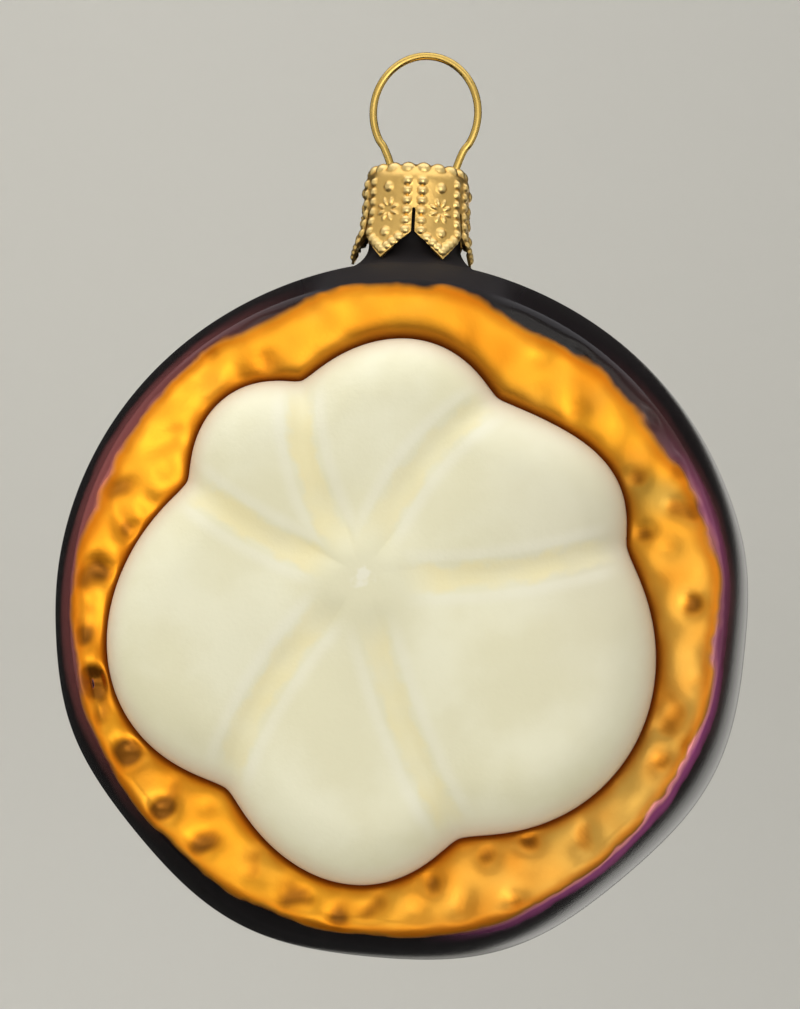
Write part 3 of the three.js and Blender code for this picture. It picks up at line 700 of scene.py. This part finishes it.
def cap_profile():
    """Run along the sheet, radius, height and outward tilt of each ring, from the top's middle down."""
    flat = CAP_RADIUS - CAP_EDGE_ROUND
    arc = math.pi / 2 * CAP_EDGE_ROUND
    rows = []
    for radius in np.linspace(0, flat, CAP_TOP_RINGS)[:-1]:
        rows.append((radius - flat, radius, 0.0, math.pi / 2))
    for turn in np.linspace(math.pi / 2, 0, CAP_EDGE_RINGS):
        radius = flat + CAP_EDGE_ROUND * math.cos(turn)
        height = CAP_EDGE_ROUND * (math.sin(turn) - 1)
        rows.append((arc - turn * CAP_EDGE_ROUND, radius, height, turn))
    for depth in np.linspace(CAP_EDGE_ROUND, CAP_HEIGHT, SKIRT_ROWS)[1:]:
        rows.append((arc + depth - CAP_EDGE_ROUND, CAP_RADIUS, -depth, 0.0))
    return np.array(rows)


def lobe_half_angle(depth):
    """Half the angle that a lobe spans: full above the slits, then narrowing to a point."""
    full = 180 / LOBE_COUNT
    slit = math.degrees(SLIT_WIDTH / 2 / CAP_RADIUS) * smoothstep(depth, SLIT_TOP, SLIT_TOP + SLIT_END)
    narrowing = (depth - LOBE_SHOULDER) / (CAP_HEIGHT - LOBE_SHOULDER)
    taper = 1 - np.clip(narrowing, 0, POINT_BLUNTNESS)
    return (full - slit) * taper


def make_cap():
    profile = cap_profile()
    run, ring_radius, height, tilt = profile.T
    across = np.linspace(-1, 1, LOBE_COLUMNS + 1)
    points, faces = [], []
    rows, columns = len(profile), len(across)
    for lobe in range(LOBE_COUNT):
        middle = lobe * 360 / LOBE_COUNT
        angle = middle + across[None, :] * lobe_half_angle(-height)[:, None]
        relief = cap_relief(angle, run[:, None] + np.zeros_like(angle))
        drop = np.maximum(0, -height - SLIT_TOP) / (CAP_HEIGHT - SLIT_TOP)
        flare = LOBE_FLARE[lobe] * drop ** FLARE_CURVE
        radius = (ring_radius + flare)[:, None] + relief * np.cos(tilt)[:, None]
        z = CAP_TOP_Z + height[:, None] + relief * np.sin(tilt)[:, None]
        cosine, sine = direction(angle)
        sector = np.stack([NECK_X + radius * cosine, radius * sine, z], axis=-1).reshape(-1, 3)
        start = lobe * rows * columns
        points.append(sector)
        row, column = np.meshgrid(np.arange(rows - 1), np.arange(columns - 1), indexing="ij")
        first = (start + row * columns + column).ravel()
        quads = np.stack([first, first + columns, first + columns + 1, first + 1], axis=-1)
        faces.extend(map(tuple, quads.tolist()))
    cap = make_object("beaded_cap", make_mesh("beaded_cap", np.vstack(points), faces))
    weld = cap.modifiers.new("weld", "WELD")
    weld.merge_threshold = WELD_DISTANCE * MM
    sheet = cap.modifiers.new("sheet", "SOLIDIFY")
    sheet.thickness = CAP_SHEET * MM
    sheet.offset = -1
    settle(cap)
    for side in (-1, 1):
        hole_centre = (side * LEG_AT_CAP_X, 0, CAP_TOP_Z - CAP_SHEET / 2)
        hole = cylinder("hole", CAP_HOLE_RADIUS, hole_centre, 4 * CAP_SHEET, CAP_HOLE_SIDES)
        combine(cap, hole, "DIFFERENCE")
    shade_smooth(cap, sharp_angle=45)
    store_cap_maps(cap.data)
    return cap


def store_cap_maps(mesh):
    points = point_values(mesh)
    angle = np.degrees(np.arctan2(points[:, 1], points[:, 0] - NECK_X))
    depth = CAP_TOP_Z - points[:, 2]
    turn = np.arcsin(np.clip(1 - depth / CAP_EDGE_ROUND, 0, 1))
    on_edge = CAP_EDGE_ROUND * (math.pi / 2 - turn)
    on_side = depth + (math.pi / 2 - 1) * CAP_EDGE_ROUND
    store(mesh, "relief", cap_relief(angle, np.where(depth < CAP_EDGE_ROUND, on_edge, on_side)))


# Wire loop

def catmull_rom(points, spans):
    """A smooth run through the points, in steps along each span."""
    points = np.asarray(points, float)
    padded = np.vstack([2 * points[0] - points[1], points, 2 * points[-1] - points[-2]])
    made = []
    for index in range(1, len(padded) - 2):
        p0, p1, p2, p3 = padded[index - 1:index + 3]
        for step in range(spans):
            t = step / spans
            made.append(0.5 * (2 * p1 + (p2 - p0) * t + (2 * p0 - 5 * p1 + 4 * p2 - p3) * t ** 2
                               + (3 * p1 - p0 - 3 * p2 + p3) * t ** 3))
    made.append(points[-1])
    return np.array(made)


def wire_route():
    """Middle of the wire in the XZ plane, from the end of one leg over the loop to the other."""
    def leg(side):
        top = LOOP_CENTRE_Z - LOOP_ABOVE_CAP
        bends = [(NECK_X + side * LEG_IN_NECK_X, top - drop) for drop in LEG_BENDS]
        end = (NECK_X + side * LEG_END_X, top - LEG_LENGTH)
        return [(side * LEG_AT_CAP_X, top), *bends, end]

    loop = []
    for angle in np.arange(-LOOP_OPEN_ANGLE, 180 + LOOP_OPEN_ANGLE + 1, LOOP_ANGLE_STEP):
        across, up = direction(angle)
        loop.append((LOOP_HALF_WIDTH * across, LOOP_CENTRE_Z + LOOP_HALF_HEIGHT * up))
    return catmull_rom(leg(1)[::-1] + loop + leg(-1), WIRE_POINTS_A_SPAN)


def make_wire():
    route = wire_route()
    ahead = np.gradient(route, axis=0)
    ahead /= np.linalg.norm(ahead, axis=1)[:, None]
    turns = np.arange(WIRE_SIDES) * 2 * np.pi / WIRE_SIDES
    rings = []
    for (x, z), (dx, dz) in zip(route, ahead):
        aside = WIRE_RADIUS * np.cos(turns)
        ring = np.stack([x - dz * aside, WIRE_RADIUS * np.sin(turns), z + dx * aside], axis=-1)
        rings.append(ring)
    ends = [(route[0][0], 0, route[0][1]), (route[-1][0], 0, route[-1][1])]
    wire = ring_body("loop", rings, *ends)
    shade_smooth(wire, sharp_angle=60)
    return wire


# Materials

RIND_BLACK = (0.005, 0.003, 0.0035)
RIND_RED = (0.30, 0.085, 0.085)
RIND_PURPLE_REFLECTION = (0.62, 0.13, 0.42)
RIND_PINK_HIGHLIGHT = (0.95, 0.34, 0.42)
GOLD_BRIGHT = (0.92, 0.39, 0.022)
GOLD_PALE = (0.68, 0.44, 0.11)
GOLD_DEEP = (0.78, 0.25, 0.008)
GOLD_OLIVE = (0.34, 0.26, 0.06)
GOLD_DARK = (0.15, 0.055, 0.008)
GOLD_CREASE_SHADE = (0.30, 0.09, 0.01)
FLESH_CREAM = (0.75, 0.72, 0.51)
FLESH_PALE = (0.81, 0.79, 0.60)
FLESH_GOLD_REFLECTION = (0.70, 0.58, 0.50)
FLESH_WHITE = (0.86, 0.85, 0.76)
FLESH_SHADE_GREY = (0.60, 0.56, 0.43)
GROOVE_YELLOW = (0.83, 0.74, 0.42)
CAP_SHADED_GOLD = (0.94, 0.61, 0.19)
CAP_LIT_GOLD = (1.0, 0.74, 0.31)
WIRE_DULL_GOLD = (0.66, 0.44, 0.11)
WIRE_BRIGHT_GOLD = (0.80, 0.56, 0.17)
WALL_PALE = (0.638, 0.627, 0.58)
WALL_SHADED = (0.48, 0.475, 0.445)
WALL_ROUGHNESS = 0.9
BORDER_WANDER = 0.55
BORDER_BLUR = 0.45
GOLD_METAL = 0.9
LACQUER_METAL = 0.6
GOLD_ROUGHNESS = 0.34
BORDER_ROUGHNESS = 0.7
RIND_ROUGHNESS = 0.2
NECK_ROUGHNESS = 0.75
FLESH_ROUGHNESS = 0.4
GLASS_SPECULAR = 0.3


def new_material(name):
    material = bpy.data.materials.new(name)
    material.use_nodes = True
    tree = material.node_tree
    return material, tree, tree.nodes["Principled BSDF"]


def add_node(tree, kind, inputs, output=0, **settings):
    """Adds a node, sets or links its inputs by name or number, and returns one output."""
    node = tree.nodes.new(kind)
    for name, value in settings.items():
        setattr(node, name, value)
    for name, value in inputs.items():
        if isinstance(value, bpy.types.NodeSocket):
            tree.links.new(value, node.inputs[name])
        else:
            node.inputs[name].default_value = value
    return node.outputs[output]


def attribute(tree, name):
    return add_node(tree, "ShaderNodeAttribute", {}, output="Fac", attribute_name=name)


def ramp(tree, value, low, high, start=0.0, end=1.0):
    inputs = {0: value, 1: low, 2: high, 3: start, 4: end}
    return add_node(tree, "ShaderNodeMapRange", inputs, interpolation_type="SMOOTHSTEP")


def calculate(tree, operation, first, second):
    return add_node(tree, "ShaderNodeMath", {0: first, 1: second}, operation=operation)


def blend(tree, part, first, second):
    """Mixes two colours, each a socket or a plain RGB triple."""
    inputs = {0: part}
    for socket, value in ((6, first), (7, second)):
        inputs[socket] = value if isinstance(value, bpy.types.NodeSocket) else (*value, 1)
    return add_node(tree, "ShaderNodeMix", inputs, output=2, data_type="RGBA")


def blend_value(tree, part, first, second):
    return add_node(tree, "ShaderNodeMix", {0: part, 2: first, 3: second}, data_type="FLOAT")


def noise(tree, scale, detail=2.0, roughness=0.5, output="Fac"):
    """Noise over the object's own space; scale is in waves a metre."""
    place_node = add_node(tree, "ShaderNodeTexCoord", {}, output="Object")
    inputs = {"Vector": place_node, "Scale": scale, "Detail": detail, "Roughness": roughness}
    return add_node(tree, "ShaderNodeTexNoise", inputs, output=output)


def connect(tree, shader, links):
    for name, value in links.items():
        tree.links.new(value, shader.inputs[name])


def times(tree, *factors):
    product = factors[0]
    for factor in factors[1:]:
        product = calculate(tree, "MULTIPLY", product, factor)
    return product


def flesh_paint(tree, inside):
    """Cream enamel with pale yellow grooves; a painted reflection of the gold makes it pinker at the
    outline, painted shade makes it greyer on the right, and a painted highlight runs beside each groove.
    """
    groove = attribute(tree, "groove")
    part = attribute(tree, "groove_part")
    colour = blend(tree, ramp(tree, noise(tree, 110, 3), 0.35, 0.7), FLESH_CREAM, FLESH_PALE)
    # Painted reflection of the gold ring: pinker towards the flesh's outline
    edge = ramp(tree, inside, 0.0, 2.4, 0.45, 0.0)
    colour = blend(tree, edge, colour, FLESH_GOLD_REFLECTION)
    # Painted shade: the flesh turns greyer towards the outline on the right
    right_shade = times(tree, ramp(tree, part, 0.3, 0.95, 0.0, 0.6), attribute(tree, "flesh_shade_right"))
    colour = blend(tree, right_shade, colour, FLESH_SHADE_GREY)
    ragged = ramp(tree, noise(tree, 420, 3), 0.3, 0.7, -0.35, 0.35)
    brush = calculate(tree, "ADD", groove, ragged)
    stroke = ramp(tree, brush, 0.75, 1.6, 1.0, 0.0)
    ends = times(tree, ramp(tree, part, 0.12, 0.3), ramp(tree, part, 0.84, 0.97, 1.0, 0.0))
    uneven_load = ramp(tree, noise(tree, 160, 2), 0.3, 0.7, 0.35, 0.75)
    # Painted highlight: a pale band beside each groove's yellow stroke
    beside = times(tree, ramp(tree, groove, 1.3, 1.9), ramp(tree, groove, 2.1, 3.2, 0.25, 0.0), ends)
    colour = blend(tree, beside, colour, FLESH_WHITE)
    colour = blend(tree, times(tree, stroke, ends, uneven_load), colour, GROOVE_YELLOW)
    knot_edge = ramp(tree, noise(tree, 700, 2), 0.3, 0.7, -0.02, 0.02)
    knot = ramp(tree, calculate(tree, "ADD", part, knot_edge), 0.02, 0.05, 0.5, 0.0)
    return blend(tree, knot, colour, FLESH_WHITE)


def gold_paint(tree, inside):
    """Tinted lacquer over silver: brown where it pools in the dimples, deepened there by painted shade,
    with painted shade along the flesh and towards the rind's border.
    """
    dimple = attribute(tree, "dimple")
    colour = blend(tree, attribute(tree, "pale_side"), GOLD_BRIGHT, GOLD_PALE)
    colour = blend(tree, ramp(tree, noise(tree, 170, 1), 0.4, 0.75, 0.0, 0.7), colour, GOLD_DEEP)
    olive = times(tree, ramp(tree, noise(tree, 120, 1), 0.5, 0.75), attribute(tree, "olive_side"))
    colour = blend(tree, olive, colour, GOLD_OLIVE)
    # Lacquer pooling with painted shade in the dimples: deeper orange, then dark brown in the deepest
    pooled_and_shaded = calculate(tree, "ADD", dimple, ramp(tree, noise(tree, 300, 1), 0.3, 0.7, -0.1, 0.1))
    colour = blend(tree, ramp(tree, pooled_and_shaded, 0.2, 0.6, 0.0, 0.75), colour, GOLD_DEEP)
    colour = blend(tree, ramp(tree, pooled_and_shaded, 0.3, 0.65, 0.0, 0.85), colour, GOLD_DARK)
    # Deeper orange towards the rind's border: the paint's own change, with painted shade that tones down
    # the bright rim edge
    colour = blend(tree, ramp(tree, attribute(tree, "rind_run"), -1.2, 0.0, 0.0, 0.7), colour, GOLD_DEEP)
    # Painted shade along the flesh: deeper orange near it, darker brown on the upper side, and a thin dark
    # line at its edge
    colour = blend(tree, ramp(tree, inside, -1.6, -0.1, 0.0, 0.6), colour, GOLD_DEEP)
    shaded = times(tree, ramp(tree, inside, -2.6, -0.2, 0.0, 0.65), attribute(tree, "trench_shade_side"))
    colour = blend(tree, shaded, colour, GOLD_DARK)
    return blend(tree, ramp(tree, inside, -0.7, -0.02, 0.0, 0.8), colour, GOLD_CREASE_SHADE)


def rind_paint(tree, red, purple, pink):
    """Near black, maroon on the left; at the lower right, a purple streak brightened as a painted
    reflection, with a pink painted highlight along it.
    """
    colour = blend(tree, red, RIND_BLACK, RIND_RED)
    colour = blend(tree, purple, colour, RIND_PURPLE_REFLECTION)
    return blend(tree, pink, colour, RIND_PINK_HIGHLIGHT)


def glass_material():
    material, tree, shader = new_material("lacquered_glass")
    inside = attribute(tree, "flesh_inside")
    wander = ramp(tree, noise(tree, 140, 3), 0.3, 0.7, -BORDER_WANDER, BORDER_WANDER)
    run = calculate(tree, "ADD", attribute(tree, "rind_run"), wander)
    red = times(tree, ramp(tree, run, 1.2, 4.2, 1.0, 0.0), attribute(tree, "red_side"))
    # Purple lacquer streak brightened as a painted reflection, and a pink painted highlight along it next
    # to the gold
    streak = times(tree, ramp(tree, run, 0.1, 0.7), ramp(tree, run, 0.7, 2.6, 1.0, 0.0))
    purple = times(tree, streak, attribute(tree, "purple_side"))
    line = times(tree, ramp(tree, run, -0.1, 0.2), ramp(tree, run, 0.3, 0.9, 1.0, 0.0))
    pink = times(tree, line, attribute(tree, "purple_side"))
    on_rind = ramp(tree, run, -BORDER_BLUR, BORDER_BLUR)
    on_flesh = ramp(tree, inside, -0.06, 0.1)
    colour = blend(tree, on_rind, gold_paint(tree, inside), rind_paint(tree, red, purple, pink))
    colour = blend(tree, on_flesh, colour, flesh_paint(tree, inside))
    lacquer = times(tree, calculate(tree, "MAXIMUM", red, purple), LACQUER_METAL)
    metal = blend_value(tree, on_rind, GOLD_METAL, lacquer)
    metal = blend_value(tree, on_flesh, metal, 0.0)
    near_neck = attribute(tree, "near_neck")
    rind_rough = ramp(tree, near_neck, 0.0, 0.5, RIND_ROUGHNESS, NECK_ROUGHNESS)
    gold_rough = ramp(tree, run, -1.7, -0.3, GOLD_ROUGHNESS, BORDER_ROUGHNESS)
    rough = blend_value(tree, on_rind, gold_rough, rind_rough)
    rough = blend_value(tree, on_flesh, rough, FLESH_ROUGHNESS)
    grain = times(tree, noise(tree, 2200, 2), ramp(tree, on_flesh, 0.0, 1.0, 0.5, 1.0))
    bump = {"Strength": 0.12, "Distance": 0.0002, "Height": grain}
    normal = add_node(tree, "ShaderNodeBump", bump, output="Normal")
    connect(tree, shader, {"Base Color": colour, "Metallic": metal, "Roughness": rough, "Normal": normal})
    shader.inputs["Specular IOR Level"].default_value = GLASS_SPECULAR
    return material


def cap_material():
    material, tree, shader = new_material("cap_metal")
    relief = attribute(tree, "relief")
    # Painted shade and highlight: darker gold in the sheet's recesses, lighter on the raised beads
    relief_shade = ramp(tree, relief, 0.0, 0.3)
    colour = blend(tree, relief_shade, CAP_SHADED_GOLD, CAP_LIT_GOLD)
    rough = ramp(tree, noise(tree, 900, 3), 0.3, 0.7, 0.28, 0.42)
    bump = add_node(
        tree, "ShaderNodeBump",
        {"Strength": 0.25, "Distance": 0.0001, "Height": noise(tree, 3000, 3)}, output="Normal")
    connect(tree, shader, {"Base Color": colour, "Roughness": rough, "Normal": bump})
    shader.inputs["Metallic"].default_value = 1.0
    return material


def wire_material():
    material, tree, shader = new_material("loop_wire")
    colour = blend(tree, noise(tree, 300, 2), WIRE_DULL_GOLD, WIRE_BRIGHT_GOLD)
    rough = ramp(tree, noise(tree, 1500, 2), 0.3, 0.7, 0.2, 0.34)
    bump = add_node(
        tree, "ShaderNodeBump",
        {"Strength": 0.08, "Distance": 0.00003, "Height": noise(tree, 900, 2)}, output="Normal")
    connect(tree, shader, {"Base Color": colour, "Roughness": rough, "Normal": bump})
    shader.inputs["Metallic"].default_value = 1.0
    return material


def backdrop_material():
    material, tree, shader = new_material("pale_backdrop")
    spot = add_node(tree, "ShaderNodeTexCoord", {}, output="Object")
    across = add_node(tree, "ShaderNodeSeparateXYZ", {0: spot}, output="X")
    up = add_node(tree, "ShaderNodeSeparateXYZ", {0: spot}, output="Z")
    sideways = ramp(tree, across, -0.3, 0.35, 0.0, 0.5)
    shade = calculate(tree, "ADD", sideways, ramp(tree, up, -0.5, 0.3, 0.25, 0.0))
    colour = blend(tree, shade, WALL_PALE, WALL_SHADED)
    connect(tree, shader, {"Base Color": colour})
    shader.inputs["Roughness"].default_value = WALL_ROUGHNESS
    return material


# Stage, lights and camera

FLOOR_Z = -0.62
STAGE_RADIUS = 1.6
STAGE_CURVE = 0.6
STAGE_HEIGHT = 1.5
STAGE_FLOOR_PARTS = (0.2, 0.4, 0.55)
STAGE_CURVE_RINGS = 12
STAGE_SIDES = 96
DARK_RING_INNER = 0.01
DARK_RING_OUTER = 0.15
DARK_OPENING_WIDTH = 0.32
DARK_CARD_OUTER = 1.3
DARK_CARD_BEHIND = 0.55
DARK_CARD_GREY = (0.02, 0.02, 0.02, 1)
DARK_OPENING = ((1, 335, 105),)
DARK_DISC_STEPS = 72
DARK_FLOOR_DROP = 350
DARK_FLOOR_SIDE = 800
DARK_FLOOR_FRONT = -500
DARK_FLOOR_BACK = 540
WARM_WHITE = (1.0, 0.98, 0.95)
PLAIN_WHITE = (1.0, 1.0, 1.0)
ROOM_COLOUR = (0.97, 0.97, 1.0, 1)
ROOM_STRENGTH = 1.35


def make_stage():
    """A pale floor that curves up into a wall all round."""
    profile = [(STAGE_RADIUS * part, FLOOR_Z) for part in STAGE_FLOOR_PARTS]
    for turn in np.linspace(0, math.pi / 2, STAGE_CURVE_RINGS):
        radius = STAGE_RADIUS - STAGE_CURVE * (1 - math.sin(turn))
        profile.append((radius, FLOOR_Z + STAGE_CURVE * (1 - math.cos(turn))))
    profile.append((STAGE_RADIUS, STAGE_HEIGHT))
    sides = STAGE_SIDES
    turns = np.arange(sides) * 2 * np.pi / sides
    points = [(0, 0, FLOOR_Z / MM)]
    for radius, z in profile:
        points.extend(zip(radius / MM * np.cos(turns), radius / MM * np.sin(turns), [z / MM] * sides))
    faces = [(0, 1 + side, 1 + (side + 1) % sides) for side in range(sides)]
    for ring in range(len(profile) - 1):
        near, far = 1 + ring * sides, 1 + (ring + 1) * sides
        for side in range(sides):
            after = (side + 1) % sides
            faces.append((near + side, far + side, far + after, near + after))
    stage = make_object("stage", make_mesh("stage", points, faces))
    stage.data.shade_smooth()
    stage.data.materials.append(backdrop_material())


def aim_at_body(holder):
    aim = Vector((0, 0, BODY_Z * MM)) - holder.location
    holder.rotation_mode = "QUATERNION"
    holder.rotation_quaternion = aim.to_track_quat("-Z", "Y")


def add_light(name, position, size, radiance, colour=WARM_WHITE, reflected=True):
    """A soft rectangular light with an even glow; radiance is against a white surface's 1."""
    light = bpy.data.lights.new(name, "AREA")
    light.shape = "RECTANGLE"
    light.size, light.size_y = size
    light.energy = radiance * math.pi * size[0] * size[1]
    light.color = colour
    holder = make_object(name, light)
    holder.location = position
    aim_at_body(holder)
    holder.visible_camera = False
    holder.visible_glossy = reflected
    return holder


def add_dark_card(name, points, faces):
    """A dark card that only reflections show, as a dark room around the pale wall would."""
    card = make_object(name, make_mesh(name, points, faces))
    material, tree, shader = new_material(name)
    shader.inputs["Base Color"].default_value = DARK_CARD_GREY
    shader.inputs["Roughness"].default_value = 1.0
    card.data.materials.append(material)
    card.visible_camera = False
    card.visible_diffuse = False
    card.visible_shadow = False


def add_dark_cards():
    """A disc behind the ornament with an opening to the right, and a sheet below it."""
    points, faces = [], []
    for turn in np.linspace(0, 360, DARK_DISC_STEPS + 1):
        opening = DARK_RING_OUTER + DARK_OPENING_WIDTH * float(patches(turn, DARK_OPENING))
        for radius in (DARK_RING_INNER, DARK_RING_OUTER, opening, DARK_CARD_OUTER):
            across, up = direction(turn)
            points.append((radius / MM * across, DARK_CARD_BEHIND / MM, BODY_Z + radius / MM * up))
    for step in range(DARK_DISC_STEPS):
        for near in (4 * step, 4 * step + 2):
            faces.append((near, near + 1, near + 5, near + 4))
    add_dark_card("dark_disc", points, faces)
    low, side = BODY_Z - DARK_FLOOR_DROP, DARK_FLOOR_SIDE
    sheet = [(-side, DARK_FLOOR_FRONT, low), (side, DARK_FLOOR_FRONT, low)]
    sheet += [(side, DARK_FLOOR_BACK, low), (-side, DARK_FLOOR_BACK, low)]
    add_dark_card("dark_floor", sheet, [(0, 1, 2, 3)])


def make_lights():
    add_light("front_light", position=(0.1, -1.2, -0.1), size=(1.3, 1.0), radiance=0.92)
    add_light(
        "key_light", position=(-0.5, -0.65, 0.65), size=(0.7, 0.5), radiance=2.8, reflected=False)
    side_light = add_light("side_light", position=(0.45, -0.95, -0.25), size=(0.5, 0.5), radiance=1.7)
    side_light.visible_diffuse = False
    add_light("edge_light", position=(0.27, 0.68, -0.2), size=(0.4, 0.9), radiance=0.4)
    add_light(
        "top_light", position=(0.1, 0.15, 1.1), size=(0.9, 0.9), radiance=2.5,
        colour=PLAIN_WHITE, reflected=False)
    add_dark_cards()
    world = bpy.data.worlds.new("soft_room")
    world.use_nodes = True
    background = world.node_tree.nodes["Background"]
    background.inputs["Color"].default_value = ROOM_COLOUR
    background.inputs["Strength"].default_value = ROOM_STRENGTH
    bpy.context.scene.world = world


def make_camera():
    data = bpy.data.cameras.new("photo_view")
    camera = make_object("photo_view", data)
    body = Vector((0, -BODY_FORWARD, BODY_Z)) * MM
    azimuth, elevation = math.radians(CAMERA_AZIMUTH), math.radians(CAMERA_ELEVATION)
    back = Vector((
        math.sin(azimuth) * math.cos(elevation),
        -math.cos(azimuth) * math.cos(elevation),
        math.sin(elevation),
    ))
    camera.location = body + back * CAMERA_DISTANCE * MM
    right = Vector((0, 0, 1)).cross(back).normalized()
    up = back.cross(right)
    roll = Matrix.Rotation(math.radians(CAMERA_ROLL), 3, back)
    right, up = roll @ right, roll @ up
    # The view's middle lies beside the body's centre by the photograph's own offset
    right_offset = (PHOTO_WIDTH / 2 - BODY_CENTRE_PIXEL[0]) * MM_A_PIXEL * MM
    up_offset = (BODY_CENTRE_PIXEL[1] - PHOTO_HEIGHT / 2) * MM_A_PIXEL * MM
    target = body + right * right_offset + up * up_offset
    look_back = (camera.location - target).normalized()
    right = up.cross(look_back).normalized()
    up = look_back.cross(right)
    turn = Matrix((right, up, look_back)).transposed()
    camera.rotation_mode = "QUATERNION"
    camera.rotation_quaternion = turn.to_quaternion()
    half_height = PHOTO_HEIGHT / 2 * MM_A_PIXEL
    data.sensor_width = CAMERA_SENSOR
    data.lens = data.sensor_width / 2 * CAMERA_DISTANCE / half_height
    data.clip_start, data.clip_end = CAMERA_CLIP
    bpy.context.scene.camera = camera


def dress(piece, node, material):
    piece.data.materials.clear()
    piece.data.materials.append(material)
    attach(piece, "root")
    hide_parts(node)


make_camera()
make_lights()
make_stage()
dress(make_glass_body(), "glass_body", glass_material())
dress(make_cap(), "crown_cap", cap_material())
dress(make_wire(), "hanger_wire", wire_material())
bpy.context.scene.view_settings.view_transform = "Standard"
